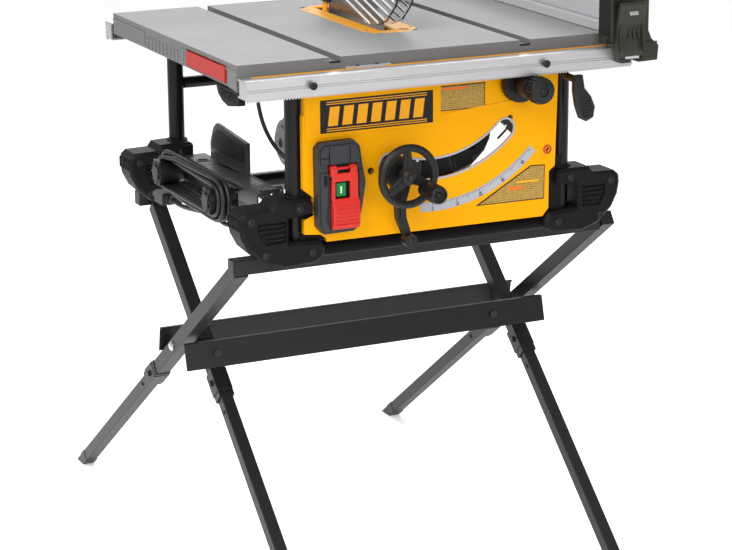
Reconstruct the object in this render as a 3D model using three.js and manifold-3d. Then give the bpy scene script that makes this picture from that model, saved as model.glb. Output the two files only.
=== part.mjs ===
// A portable table saw with a sliding rip fence, on a folding crossed-leg stand.
// Millimetres. While it is built the origin is the front left corner of the table surface:
// X to the right along the front, Y to the back, Z up. The last lines move it to stand on Z = 0.
import * as THREE from "three";
import { mergeVertices } from "three/addons/utils/BufferGeometryUtils.js";
import Module from "manifold-3d";

const wasm = await Module();
wasm.setup();

// ---------- driving dimensions ----------
const GAP = 0.4; // clearance between neighbouring pieces
const TABLE = { width: 667, depth: 559, thick: 8, rim: 20.8, skirt: 37, wall: 7 };
const FLOOR = -952; // height of the floor under the table surface
const MITRE = { width: 19.05, deep: 9.5, centres: [165.5, 502.5] };
const THROAT = { x0: 305, x1: 400, y0: 160, y1: 472, thick: 3, ledge: 6 };
const TILT = { x: 350, z: -12, trunnion: 54, ends: [58, 508], thick: 8 }; // bevel axis, along Y
const RAIL = {
  x0: -1, x1: 680, front: -40, deep: 34, top: -18.7, bottom: -52, sheet: 3.2,
  pegs: [108, 517, 671], pegZ: -33, pegRadius: 4.5,
};
const PINION = { x: 500, z: -73, radius: 19.5 };
const PANEL = { front: 28, back: 31, lip: 38 };
const SLOT = { middle: 191, half: 15.5, from: -24, to: 44 }; // about the bevel axis, degrees from down
const POST = { radius: 14, frontY: 53.8, rearY: 535, frontX: [115.7, 600.5], rearX: [102, 614], foot: -300 };
const TUBE = { radius: 14, z: -318, frontY: 50, rearY: 535 };
const BUMPER = { front: 31, depth: 56, full: 119, reach: { frontLeft: 107, rearLeft: 101, right: 101 } };
const ARBOR = { y: 316, z: -50, radius: 7.9 };
const BLADE = { radius: 127, kerf: 2.2, teeth: 24, root: 119 };
const MOTOR = { x0: 200, x1: 285.5, y: 300, z: -199, radius: 45 };
const SHROUD = { x0: 329, x1: 373, y0: 172, y1: 498, top: -34, bottom: -268, sheet: 3 };
const GUIDES = { x: 300, y: [240, 395], radius: 8 };
const SCREW = { x: 275.5, y: 170, radius: 7 };
const WHEEL = { x: 275.5, z: -195, y: -35, radius: 52, shaft: 7, crank: 40, pin: 44 };
const GUARD = { y: 440, z: 92, left: 334, right: 362, sheet: 4 };
const FENCE = { x0: 648, x1: 692, top: 77, front: -20, back: 588 };
const STOCK = { outer: 25.4, inner: 22 }; // square tubes of the stand
const BAR = { front: { x: [22, 701.6], y: 98, z: -346 }, rear: { x: [52, 720], y: 614, z: -346 } };
const FEET = { front: { y: -69 }, rear: { y: 947 } };
const LEGS = { a: 32, b: 72, d: 662, c: 702 }; // left faces of the four legs
const HANK = { x0: 14, x1: 50, y: [161, 389], z: -248, outer: 38.5, inner: 20.3 };
const PORT = { x: 351, z: -200, outer: 31, inner: 28, flange: 36, end: 521 };
const CLIP = { width: 26, front: [186, 506], rear: [190, 510] }; // where the stand meets the two lower tubes

const LOOKS = {
  cast: { color: 0xa9a9ab, roughness: 0.42, metalness: 0.6 },
  yellow: { color: 0xffb800, roughness: 0.45, metalness: 0.05 },
  aluminium: { color: 0xd2d4d6, roughness: 0.35, metalness: 0.85 },
  blackTube: { color: 0x1f2022, roughness: 0.4, metalness: 0.4 },
  blackPlastic: { color: 0x2a2a2c, roughness: 0.65, metalness: 0 },
  red: { color: 0xd92f26, roughness: 0.45, metalness: 0 },
  green: { color: 0x0b7d34, roughness: 0.4, metalness: 0 },
  steel: { color: 0xb8bbbe, roughness: 0.25, metalness: 1 },
  clear: { color: 0xe8eef0, roughness: 0.1, metalness: 0 },
  orange: { color: 0xf39a12, roughness: 0.45, metalness: 0 },
  standPaint: { color: 0x35363a, roughness: 0.5, metalness: 0.4 },
  rubber: { color: 0x18181a, roughness: 0.75, metalness: 0 },
};

// ---------- solids ----------
function solid(geometry) {
  const bare = geometry.index ? geometry.toNonIndexed() : geometry.clone();
  bare.deleteAttribute("normal");
  bare.deleteAttribute("uv");
  const merged = mergeVertices(bare, 1e-4);
  return new wasm.Manifold(
    new wasm.Mesh({
      numProp: 3,
      vertProperties: merged.attributes.position.array,
      triVerts: new Uint32Array(merged.index.array),
    }),
  );
}

function geometryOf(body) {
  const mesh = body.getMesh();
  const points = new Float32Array(mesh.numVert * 3);
  for (let i = 0; i < mesh.numVert; i++) {
    points.set(mesh.vertProperties.subarray(i * mesh.numProp, i * mesh.numProp + 3), i * 3);
  }
  const geometry = new THREE.BufferGeometry();
  geometry.setAttribute("position", new THREE.BufferAttribute(points, 3));
  geometry.setIndex(new THREE.BufferAttribute(new Uint32Array(mesh.triVerts), 1));
  geometry.computeVertexNormals();
  return geometry;
}

const join = (first, ...rest) => rest.reduce((sum, body) => sum.add(body), first);
const cut = (first, ...rest) => rest.reduce((sum, body) => sum.subtract(body), first);

function box([x0, x1], [y0, y1], [z0, z1]) {
  const shape = new THREE.BoxGeometry(x1 - x0, y1 - y0, z1 - z0);
  return solid(shape.translate((x0 + x1) / 2, (y0 + y1) / 2, (z0 + z1) / 2));
}

// How an outline (u, v) and its depth w turn into X, Y and Z, for each direction of extrusion.
const BASES = {
  x: new THREE.Matrix4().makeBasis(
    new THREE.Vector3(0, 1, 0), new THREE.Vector3(0, 0, 1), new THREE.Vector3(1, 0, 0)),
  y: new THREE.Matrix4().makeBasis(
    new THREE.Vector3(1, 0, 0), new THREE.Vector3(0, 0, 1), new THREE.Vector3(0, -1, 0)),
  z: new THREE.Matrix4(),
};

// A plate of constant thickness across one axis: its outline is (y, z), (x, z) or (x, y).
function slab(axis, outline, from, to, bevel = 0) {
  const shape = new THREE.Shape(outline.map(([u, v]) => new THREE.Vector2(u, v)));
  const geometry = new THREE.ExtrudeGeometry(shape, {
    depth: to - from - 2 * bevel,
    bevelEnabled: bevel > 0,
    bevelThickness: bevel,
    bevelSize: bevel,
    bevelOffset: -bevel,
    bevelSegments: 1,
    curveSegments: 12,
  });
  geometry.translate(0, 0, bevel + (axis === "y" ? -to : from));
  return solid(geometry.applyMatrix4(BASES[axis]));
}

// A round bar along one axis, through (a, b) in the two other axes, in X, Y, Z order.
function rod(axis, radius, from, to, a, b, sides = 24) {
  const geometry = new THREE.CylinderGeometry(radius, radius, to - from, sides);
  const middle = (from + to) / 2;
  if (axis === "x") geometry.rotateZ(Math.PI / 2).translate(middle, a, b);
  if (axis === "y") geometry.translate(a, middle, b);
  if (axis === "z") geometry.rotateX(Math.PI / 2).translate(a, b, middle);
  return solid(geometry);
}

// Points of an arc about (u, v), with angles in degrees counted from straight down, positive to +u.
function arc(u, v, radius, from, to, steps) {
  const points = [];
  for (let i = 0; i <= steps; i++) {
    const angle = THREE.MathUtils.degToRad(from + ((to - from) * i) / steps);
    points.push([u + radius * Math.sin(angle), v - radius * Math.cos(angle)]);
  }
  return points;
}

// A band between two radii about (u, v).
const band = (u, v, inner, outer, from, to, steps) => [
  ...arc(u, v, outer, from, to, steps),
  ...arc(u, v, inner, to, from, steps),
];

function cable(points, radius, steps) {
  const path = new THREE.CatmullRomCurve3(points.map((p) => new THREE.Vector3(...p)));
  const section = new THREE.Shape();
  section.absarc(0, 0, radius, 0, 2 * Math.PI);
  const options = { steps, extrudePath: path, bevelEnabled: false, curveSegments: 4 };
  return solid(new THREE.ExtrudeGeometry(section, options));
}

function piece(group, name, look, body) {
  const mesh = new THREE.Mesh(geometryOf(body), new THREE.MeshStandardMaterial(LOOKS[look]));
  mesh.name = name;
  group.add(mesh);
  return mesh;
}

const saw = new THREE.Group();
const stand = new THREE.Group();

// ---------- table ----------
function tableTop() {
  const { width, depth, thick, rim, skirt, wall } = TABLE;
  const leftSkirt = slab("x",
    [[0, -42], [40, -38], [380, -36], [depth, -36], [depth, -thick + 1], [0, -thick + 1]], 0, 8);
  let top = join(
    box([0, width], [0, depth], [-thick, 0]),
    box([0, width], [0, wall], [-rim, -thick + 1]),
    box([0, width], [depth - wall, depth], [-rim, -thick + 1]),
    box([width - wall, width], [0, depth], [-skirt, -thick + 1]),
    leftSkirt,
  );
  for (const x of MITRE.centres) {
    top = join(top, box([x - 14, x + 14], [0, depth], [-14, -1]));
  }
  for (const x of MITRE.centres) {
    const half = MITRE.width / 2;
    top = cut(top, box([x - half, x + half], [-1, depth + 1], [-MITRE.deep, 1]));
  }
  const { x0, x1, y0, y1, thick: plate, ledge } = THROAT;
  const recess = slab("z", throatOutline(GAP), -plate - GAP, 1);
  top = cut(top, recess, box([x0 + ledge, x1 - ledge], [y0 + ledge, y1 - ledge], [-20, 1]));
  // lugs that carry the two rails from inside
  for (const x of [300, 590]) {
    const wide = [x, x + 50];
    top = join(top,
      box(wide, [-31, 6], [-46, -25]), box(wide, [0, 6], [-46, -15]),
      box(wide, [depth - 6, depth + 31], [-46, -25]), box(wide, [depth - 6, depth], [-46, -15]));
  }
  // half-ring trunnions that carry the tilting carriage
  const inner = TILT.trunnion - 10;
  for (const y of TILT.ends) {
    const ring = slab("y", band(TILT.x, TILT.z, inner, TILT.trunnion, -90, 90, 16), y, y + TILT.thick);
    const left = box([TILT.x - TILT.trunnion, TILT.x - inner], [y, y + TILT.thick], [-13, -7]);
    const right = box([TILT.x + inner, TILT.x + TILT.trunnion], [y, y + TILT.thick], [-13, -7]);
    top = join(top, ring, left, right);
  }
  const pocket = box([-1, 4], [40, 214], [-34.5, -7]);
  return cut(top, pocket);
}

// A long plate with pointed ends, grown by a clearance.
function throatOutline(grow) {
  const { x0, x1, y0, y1 } = THROAT;
  const point = 24;
  const mid = (x0 + x1) / 2;
  return [
    [x0 - grow, y0 + point], [mid - 22, y0 - grow], [mid + 22, y0 - grow], [x1 + grow, y0 + point],
    [x1 + grow, y1 - point], [mid + 22, y1 + grow], [mid - 22, y1 + grow], [x0 - grow, y1 - point],
  ];
}

function throatPlate() {
  const plate = slab("z", throatOutline(0), -THROAT.thick, 0);
  const kerf = box([333, 357], [184, 458], [-5, 1]);
  const fingerHole = rod("z", 9, -5, 1, 372, 179, 16);
  return cut(plate, kerf, fingerHole);
}

piece(saw, "table_top", "cast", tableTop());
piece(saw, "throat_plate", "yellow", throatPlate());
piece(saw, "push_stick", "red", join(
  box([-3, 3.6], [44, 206], [-33, -9]), box([-3, 3.6], [44, 60], [-34, -8.4])));

// ---------- front panel ----------
function frontPanel() {
  const outline = [
    [124, -21], [124, -92], [121, -96], [121, -214], [139, -229], [139, -257], [122, -264],
    [122, -287], [150, -290], [161, -298], [161, -303], [555, -305], [566, -292], [566, -262],
    [566, -229], [577, -221], [580, -110], [582, -21],
  ];
  const inset = outline.map(([x, z]) => [x + (x < 350 ? 3 : -3), z + (z > -150 ? -3 : 3)]);
  const shell = cut(slab("y", outline, PANEL.front, PANEL.lip), slab("y", inset, PANEL.back, PANEL.lip + 1));
  const { middle, half, from, to } = SLOT;
  const slot = join(
    slab("y", band(TILT.x, TILT.z, middle - half, middle + half, from, to, 18), 20, 45),
    ...arc(TILT.x, TILT.z, middle, from, to, 1).map(([x, z]) => rod("y", half, 20, 45, x, z, 20)));
  return cut(shell, slot, box([150, 205], [20, 45], [-274, -150]),
    rod("y", 8, 20, 45, PINION.x, PINION.z, 16), rod("y", 3.5, 20, 45, 239, -195, 12),
    rod("y", 3.5, 20, 45, 492, -132, 12));
}
piece(saw, "front_panel", "yellow", frontPanel());

// ---------- switch ----------
function switchHousing() {
  const bezel = slab("y", [
    [138, -147], [146, -138], [202, -137], [212, -147], [217, -180], [222, -208], [216, -245],
    [208, -280], [200, -285], [149, -286], [139, -274]], 10, PANEL.front - GAP);
  const wiring = box([152, 203], [PANEL.front - 4, 76], [-272, -152]);
  const well = box([160, 206.5], [9, 20], [-278, -182]);
  const buttonWell = box([163, 191], [8, 30], [-230, -199]);
  const hingeSeat = box([156, 206], [9, 20], [-190, -173]);
  return cut(join(bezel, wiring), well, buttonWell, hingeSeat);
}
piece(saw, "switch_housing", "blackPlastic", switchHousing());

function switchPaddle() {
  const plate = slab("x", [
    [3, -184], [9, -184], [9, -236], [12, -248], [6, -276], [0, -274], [2, -250], [1, -238],
  ], 164.5, 205.5, 0.8);
  const barrel = rod("x", 5.5, 158, 204, 11, -181, 16);
  const neck = box([164.5, 200], [5, 12], [-190, -180]);
  const window = box([166, 188], [-3, 14], [-228, -201]);
  return cut(join(plate, barrel, neck), window);
}
piece(saw, "switch_paddle", "red", switchPaddle());
piece(saw, "start_button", "green", box([168.5, 185.5], [6, 24], [-225.5, -203.5]));
piece(saw, "switch_cable", "rubber", cable([
  [112, 206, -16], [115, 204, -60], [118, 200, -104], [126, 194, -144], [140, 178, -178],
  [158, 146, -202], [172, 110, -212], [177, 90, -213], [177, 77, -213]], 3.5, 34));

// ---------- cage of tubes and plastic corner bumpers ----------
function post(x, y) {
  return rod("z", POST.radius, POST.foot, -TABLE.thick - GAP, x, y);
}
piece(saw, "post_front_left", "blackTube", post(POST.frontX[0], POST.frontY));
piece(saw, "post_front_right", "blackTube", post(POST.frontX[1], POST.frontY));
piece(saw, "post_rear_left", "blackTube", post(POST.rearX[0], POST.rearY));
piece(saw, "post_rear_right", "blackTube", post(POST.rearX[1], POST.rearY));

// Arms on the front tube hold the front bar of the stand, clear of its corners as it turns.
function frontTube() {
  const { width, front } = CLIP;
  const arms = front.map((x) => box([x, x + width], [TUBE.frontY, 116], [-327, -308]));
  return join(rod("x", TUBE.radius, 96, 622, TUBE.frontY, TUBE.z), ...arms);
}
piece(saw, "front_tube", "blackTube", frontTube());

// Saddles on the rear tube rest on the rear bar of the stand.
function rearTube() {
  const { width, rear } = CLIP;
  const barTop = BAR.rear.z + STOCK.outer / 2;
  const saddles = rear.map((x) => box([x, x + width], [TUBE.rearY, 634], [barTop + GAP, -308]));
  return join(rod("x", TUBE.radius, 82, 636, TUBE.rearY, TUBE.z), ...saddles);
}
piece(saw, "rear_tube", "blackTube", rearTube());
piece(saw, "rear_cross_tube", "blackTube",
  rod("x", 10.3, POST.rearX[0] + POST.radius + GAP, POST.rearX[1] - POST.radius - GAP, POST.rearY, -127.5));

// A bumper beside a post: reach is how far it stands out, side is -1 on the left.
// Its outline is drawn at full reach and shortened.
function bumper(postX, postY, tubeY, side, reach) {
  const k = reach / BUMPER.full;
  const outer = [
    [19, -232], [20, -253], [-21, -259], [-21, -297], [35, -300], [42, -312], [38, -327], [24, -336],
    [-28, -339], [-70 * k, -328], [-102 * k, -303], [-115 * k, -281], [-119 * k, -260], [-116 * k, -247],
    [-106 * k, -240], [-58 * k, -239], [-42, -229], [-14, -228], [14, -229]];
  const outline = outer.map(([u, z]) => [postX - side * u, z]);
  if (side > 0) outline.reverse();
  const y0 = postY - BUMPER.front;
  const shell = slab("y", outline, y0, y0 + BUMPER.depth, 5);
  const relief = slab("y", [
    [-84 * k, -260], [-62, -260], [-27, -260], [-27, -295], [-62, -297], [-84 * k, -280],
  ].map(([u, z]) => [postX - side * u, z]), y0 - 1, y0 + 5);
  const bore = POST.radius + GAP;
  return cut(shell, relief,
    rod("z", bore, POST.foot - 8, -200, postX, postY, 24),
    rod("x", bore, postX - 150, postX + 150, tubeY, TUBE.z, 24));
}
piece(saw, "bumper_front_left", "blackPlastic",
  bumper(POST.frontX[0], POST.frontY, TUBE.frontY, -1, BUMPER.reach.frontLeft));
piece(saw, "bumper_front_right", "blackPlastic",
  bumper(POST.frontX[1], POST.frontY, TUBE.frontY, 1, BUMPER.reach.right));
piece(saw, "bumper_rear_left", "blackPlastic",
  bumper(POST.rearX[0], POST.rearY, TUBE.rearY, -1, BUMPER.reach.rearLeft));
piece(saw, "bumper_rear_right", "blackPlastic",
  bumper(POST.rearX[1], POST.rearY, TUBE.rearY, 1, BUMPER.reach.right));

// ---------- storage along the left side, and the wound cord ----------
function sideChannel() {
  const section = [
    [99, -275], [102, -275], [102, -253], [144, -253], [144, -275], [147, -275], [147, -250], [99, -250]];
  const tray = slab("y", section, 166, 472);
  const hole = rod("z", 9, -260, -240, 116, 448, 20);
  const ends = [[79.2, 170], [468, 503]].map((along) => box([104, 142], along, [-256, -250]));
  const holder = slab("x",
    [[322, -256], [488, -256], [488, -228], [474, -200], [459, -189], [322, -199]], 146, 153);
  return join(cut(tray, hole), ...ends, holder);
}
piece(saw, "side_channel", "blackTube", sideChannel());

function cordBracket() {
  const horns = HANK.y.map((y) => join(
    rod("x", HANK.inner - 1, HANK.x0 - 6, 54, y, HANK.z, 20),
    box([HANK.x0 - 6, HANK.x0 - 1.5], [y - 14, y + 14], [HANK.z - 21, HANK.z + 21])));
  return join(box([52, 56], [HANK.y[0] - 20, HANK.y[1] + 20], [HANK.z - 12, HANK.z + 12]),
    box([55, 99 - GAP], [245, 300], [HANK.z - 12, HANK.z - 6]), ...horns);
}
piece(saw, "cord_bracket", "blackPlastic", cordBracket());

function racetrack(radius) {
  const [near, far] = HANK.y;
  return [...arc(far, HANK.z, radius, 0, 180, 10), ...arc(near, HANK.z, radius, 180, 360, 10)];
}
piece(saw, "cord_hank", "rubber",
  cut(slab("x", racetrack(HANK.outer), HANK.x0, HANK.x1),
    slab("x", racetrack(HANK.inner), HANK.x0 - 1, HANK.x1 + 1)));
piece(saw, "cord_lead", "rubber", cable([
  [62, 96, -262], [62, 102, -262.5], [57, 114, -271], [49, 132, -284], [45, 156, -291], [43, 184, -291.7],
], 4, 18));
piece(saw, "strain_relief", "rubber", rod("y", 7.5, 85.5, 95.4, 62, -262, 12));
piece(saw, "cord_plug", "rubber", join(
  box([18, 46], [392, 432], [-308, -287.5]), rod("y", 6, 372, 394, 32, -297.5, 12),
  box([22, 24], [430, 450], [-302, -294]), box([38, 40], [430, 450], [-302, -294])));

// ---------- sliding rails ----------
// A toothed channel, open towards the table, with the pegs that the fence hooks on.
function rail(out) {
  const { x0, x1, front, deep, top, bottom, sheet, pegs, pegZ, pegRadius } = RAIL;
  const place = out < 0 ? (y) => y : (y) => TABLE.depth - y;
  const section = [
    [front, bottom], [front + deep, bottom], [front + deep, bottom + sheet], [front + sheet, bottom + sheet],
    [front + sheet, top - sheet], [front + deep, top - sheet], [front + deep, top], [front, top],
  ].map(([y, z]) => [place(y), z]);
  if (out > 0) section.reverse();
  const studs = pegs.map((x) => {
    const ends = [place(front - 9), place(front + 1)];
    return rod("y", pegRadius, Math.min(...ends), Math.max(...ends), x, pegZ, 12);
  });
  return join(slab("x", section, x0, x1), ...studs);
}
piece(saw, "front_rail", "aluminium", rail(-1));
piece(saw, "rear_rail", "aluminium", rail(1));

function pinionShaft() {
  const { x, z, radius } = PINION;
  return join(
    rod("y", 6, -41, 588, x, z, 12), rod("y", radius, -36, -10, x, z, 20),
    rod("y", 30, 2, 20, x, z, 24), rod("y", radius, 569, 588, x, z, 20));
}
piece(saw, "pinion_shaft", "blackPlastic", pinionShaft());

function fluted(radius, dent, flutes) {
  const points = [];
  for (let i = 0; i < flutes * 2; i++) {
    const angle = (i * Math.PI) / flutes;
    const r = i % 2 ? radius - dent : radius;
    points.push([r * Math.cos(angle), r * Math.sin(angle)]);
  }
  return points;
}
const knobOutline = fluted(21.5, 1.4, 16).map(([u, v]) => [u + PINION.x, v + PINION.z]);
piece(saw, "rail_knob", "blackPlastic",
  join(slab("y", knobOutline, -64, -44), rod("y", 12, -67, -63, PINION.x, PINION.z, 20),
    rod("y", 15, -45, -41 - GAP, PINION.x, PINION.z, 20)));

function railLock() {
  const lever = slab("y", [
    [582, -62], [598, -62], [602, -84], [614, -98], [622, -116], [619, -134], [606, -140],
    [594, -134], [586, -112], [582, -88]], -26, -12, 3);
  return join(lever, rod("y", 6, -14, 20, 590, -70, 12));
}
piece(saw, "rail_lock_lever", "blackPlastic", railLock());

// ---------- rip fence ----------
function fenceBeam() {
  const { x0, x1, top, front, back } = FENCE;
  const outer = box([x0, x1], [front, back], [1, top]);
  return cut(outer, box([x0 + 3, x1 - 3], [front - 1, back + 1], [4, top - 3]));
}
piece(saw, "fence_beam", "aluminium", fenceBeam());

// The end piece of the fence, which hooks down over a rail; the notch clears the rail's peg.
function fenceEnd(y0, y1, y2) {
  const high = [[627, -12], [700, -12], [696, 10], [696, 80], [627, 80]];
  const low = [
    [645, -41], [664, -41], [664, -26], [678, -26], [678, -41], [714, -40], [716, -16], [702, -4], [696, 10],
    [696, 80], [627, 80], [627, 2], [640, -8]];
  const hook = y0 < y1 ? slab("y", low, y0, y1) : slab("y", low, y1, y0);
  const bridge = y1 < y2 ? slab("y", high, y1 - 1, y2) : slab("y", high, y2, y1 + 1);
  return join(hook, bridge);
}
piece(saw, "fence_head", "blackPlastic", fenceEnd(-63, -41, FENCE.front - GAP));
piece(saw, "fence_tail", "blackPlastic", fenceEnd(618, 600, FENCE.back + GAP));

// A curved lever that pivots at its low end on the face of a fence end piece.
function fenceLatch(y, side) {
  const profile = [
    [0.6, -24], [1.8, -28.2], [5, -29.6], [9, -28], [12, -16], [9, 0], [10, 20], [14, 40], [19, 56],
    [14, 60], [7, 44], [3, 22], [1.5, 2], [0.6, -12],
  ].map(([out, z]) => [y + side * out, z]);
  if (side < 0) profile.reverse();
  return slab("x", profile, 632, 681, 0.5);
}
piece(saw, "fence_latch_front", "blackPlastic", fenceLatch(-63, -1));
piece(saw, "fence_latch_rear", "blackPlastic", fenceLatch(618, 1));
piece(saw, "narrow_fence", "blackPlastic", join(
  box([697, 709], [10, 570], [8, 54]), rod("y", 5, 10, 570, 702, 58, 12)));

// ---------- tilting carriage ----------
// A piece of ring that turns outside a trunnion.
function shoe(y) {
  const inner = TILT.trunnion + GAP;
  return slab("y", band(TILT.x, TILT.z, inner, TILT.trunnion + 12, -28, 28, 8), y, y + TILT.thick);
}

function bladeShroud() {
  const { x0, x1, y0, y1, top, bottom, sheet } = SHROUD;
  const walls = cut(box([x0, x1], [y0, y1], [bottom, top]),
    box([x0 + sheet, x1 - sheet], [y0 + sheet, y1 - sheet], [bottom + sheet, top + 1]),
    box([x0 - 1, x0 + sheet + 1], [290, 490], [-165, top + 1]),
    rod("y", PORT.inner, y1 - sheet - 1, y1 + 1, PORT.x, PORT.z, 28));
  return join(walls, box([335, 365], [y1 - 1, 516], [-96, -75]), shoe(TILT.ends[1]));
}
piece(saw, "blade_shroud", "blackPlastic", bladeShroud());

function dustPort() {
  const from = SHROUD.y1 + GAP;
  const collar = join(rod("y", PORT.flange, from, from + 4, PORT.x, PORT.z, 28),
    rod("y", PORT.outer, from, PORT.end, PORT.x, PORT.z, 28));
  return cut(collar, rod("y", PORT.inner, from - 1, PORT.end + 1, PORT.x, PORT.z, 28));
}
piece(saw, "dust_port", "blackPlastic", dustPort());

// The plate behind the curved slot, which carries the shaft of the wheel.
function tiltPlate() {
  const plate = slab("y", band(TILT.x, TILT.z, 158, 222, -38, 13, 10), 44, 50);
  const body = join(plate, box([332, 368], [44, 50], [-200, -70]), box([332, 368], [44, 66], [-96, -75]),
    shoe(TILT.ends[0]), box([335, 367], [49, SHROUD.y0 - GAP], [-226, -198]));
  return cut(body, rod("y", WHEEL.shaft + GAP, 40, 55, WHEEL.x, WHEEL.z, 16));
}
piece(saw, "tilt_plate", "blackPlastic", tiltPlate());

// Two guide bars and the two bearings of the lifting screw, on arms and a web beside the shroud.
function liftGuides() {
  const { bottom } = SHROUD;
  const side = SHROUD.x0 - GAP;
  const [near, far] = GUIDES.y;
  const arm = (y, z) => box([GUIDES.x - 9, side], [y - 9, y + 9], [z, z + 9]);
  const bearing = (z) => box([SCREW.x - 11, side], [SCREW.y - 11, SCREW.y + 11], [z, z + 8]);
  const bars = GUIDES.y.map((y) => rod("z", GUIDES.radius, bottom, -35, GUIDES.x, y, 16));
  const body = join(
    box([side - 2.2, side], [SCREW.y - 11, far + 9], [bottom, -215]),
    box([side - 10, side], [SCREW.y - 11, near + 9], [-48, -35]),
    arm(near, -44), arm(near, bottom), arm(far, -44), arm(far, bottom),
    bearing(-48), bearing(bottom), ...bars);
  return cut(body, rod("z", SCREW.radius + GAP, -270, -30, SCREW.x, SCREW.y, 16));
}
piece(saw, "lift_guides", "blackPlastic", liftGuides());

function liftScrew() {
  const { x, y, radius } = SCREW;
  return join(rod("z", radius, -267, -41, x, y, 16), rod("z", 11.5, -206, -186, x, y, 20));
}
piece(saw, "lift_screw", "steel", liftScrew());

function gearCase() {
  let body = join(
    box([286, 326], [226, 470], [-85, -54]), box([286, 326], [258, 346], [-240, -54]),
    box([266, 300], [156, 230], [-85, -54]), rod("x", 18, 290, 341, ARBOR.y, ARBOR.z, 24),
    box([320, 348.4], [436, 462], [-85, -58]));
  for (const y of GUIDES.y) {
    body = cut(body, rod("z", GUIDES.radius + GAP, -90, -50, GUIDES.x, y, 16));
  }
  return cut(body, rod("z", SCREW.radius + GAP, -90, -50, SCREW.x, SCREW.y, 16),
    rod("x", ARBOR.radius + GAP, 300, 342, ARBOR.y, ARBOR.z, 16));
}
piece(saw, "gear_case", "cast", gearCase());
piece(saw, "motor", "aluminium", join(
  rod("x", MOTOR.radius, MOTOR.x0 + 18, MOTOR.x1, MOTOR.y, MOTOR.z, 28),
  rod("x", MOTOR.radius - 5, MOTOR.x0 + 6, MOTOR.x0 + 19, MOTOR.y, MOTOR.z, 28),
  rod("x", MOTOR.radius - 16, MOTOR.x0, MOTOR.x0 + 7, MOTOR.y, MOTOR.z, 28)));

// Follows the blade behind its teeth, then rises to carry the guard.
function rivingKnife() {
  const inner = arc(ARBOR.y, ARBOR.z, 131, 86, 150, 10);
  const outline = [
    ...inner, [404, 84], [428, 102], [446, 102], [453, 88], [449, 40],
    ...arc(ARBOR.y, ARBOR.z, 145, 108, 86, 4),
  ];
  return slab("x", outline, TILT.x - 1.2, TILT.x + 1.2);
}
piece(saw, "riving_knife", "orange", rivingKnife());

function sawBlade() {
  const points = [];
  const { radius, teeth, root } = BLADE;
  const turn = (2 * Math.PI) / teeth;
  for (let i = 0; i < teeth; i++) {
    for (const [r, part] of [[radius, 0], [radius - 1, 0.2], [root, 0.3], [root + 2, 0.85]]) {
      const angle = -(i + part) * turn;
      points.push([ARBOR.y + r * Math.cos(angle), ARBOR.z + r * Math.sin(angle)]);
    }
  }
  const disc = slab("x", points.reverse(), TILT.x - BLADE.kerf / 2, TILT.x + BLADE.kerf / 2);
  return cut(disc, rod("x", ARBOR.radius + GAP, 340, 360, ARBOR.y, ARBOR.z, 20));
}
piece(saw, "saw_blade", "steel", sawBlade());
piece(saw, "arbor", "steel", join(
  rod("x", ARBOR.radius, 303, 369.5, ARBOR.y, ARBOR.z, 20), rod("x", 22, 341.5, 348.5, ARBOR.y, ARBOR.z, 24),
  rod("x", 22, 351.5, 356, ARBOR.y, ARBOR.z, 24), rod("x", 14, 355, 366, ARBOR.y, ARBOR.z, 6)));

// ---------- blade guard ----------
function guardArm() {
  const outline = [
    [452, 88], [450, 100], [436, 114], [250, 124], [222, 114], [222, 106], [250, 104], [425, 94],
    [436, 84], [446, 82]];
  const side = (x) => slab("x", outline, x, x + 4.5);
  const web = slab("x", [[430, 108], [436, 114], [250, 124], [222, 114], [222, 108]], 346, 354);
  const pins = [[338.4, 344], [356, 361.6]].map(([from, to]) => rod("x", 4, from, to, GUARD.y, GUARD.z, 12));
  return join(side(343), side(352.5), web, ...pins);
}
piece(saw, "guard_arm", "orange", guardArm());

const SHIELD = [
  [240, 3], [204, 6], [166, 19], [132, 48], [114, 85], [122, 112], [250, 126], [436, 114], [450, 98],
  [446, 84], [425, 78], [349, 29]];
piece(saw, "guard_shield_left", "clear", slab("x", SHIELD, GUARD.left, GUARD.left + GUARD.sheet));
piece(saw, "guard_shield_right", "clear", slab("x", SHIELD, GUARD.right, GUARD.right + GUARD.sheet));

// ---------- controls on the tilting shaft ----------
function heightWheel() {
  const { x, z, y, radius, shaft, pin } = WHEEL;
  const rim = new THREE.LatheGeometry(
    arc(radius - 6, 0, 6.5, 0, 360, 10).slice(0, -1).concat([[radius - 6, -6.5]])
      .map(([u, v]) => new THREE.Vector2(u, v)), 32).translate(x, y, z);
  let wheel = join(solid(rim), rod("y", 12, y - 8, y + 12, x, z, 20), rod("y", shaft, y, 150, x, z, 16));
  for (const angle of [215, 95, -25]) {
    const turn = THREE.MathUtils.degToRad(angle);
    const spoke = new THREE.BoxGeometry(radius - 8, 6, 9).translate((radius - 8) / 2, 0, 0);
    wheel = join(wheel, solid(spoke.rotateY(-turn).translate(x, y, z)));
  }
  const [crankX, crankZ] = crankPin();
  const lug = rod("y", 12, y - 5, y + 5, crankX, crankZ, 20);
  return join(wheel, lug, rod("y", 5, y - pin, y - 4, crankX, crankZ, 12),
    rod("y", 12, 149, 157.5, x, z, 20));
}

function crankPin() {
  const angle = THREE.MathUtils.degToRad(-38);
  return [WHEEL.x + WHEEL.crank * Math.cos(angle), WHEEL.z + WHEEL.crank * Math.sin(angle)];
}
piece(saw, "height_wheel", "blackPlastic", heightWheel());

function crankHandle() {
  const [x, z] = crankPin();
  const profile = [[5.5, 0], [14, 0], [15.5, 6], [15.5, 36], [13, 42], [5.5, 42]];
  const outline = [...profile, profile[0]].map(([r, h]) => new THREE.Vector2(r, h));
  const shell = new THREE.LatheGeometry(outline, 20);
  return solid(shell.rotateX(Math.PI).translate(x, WHEEL.y - 7.2, z));
}
piece(saw, "crank_handle", "blackPlastic", crankHandle());

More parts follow.
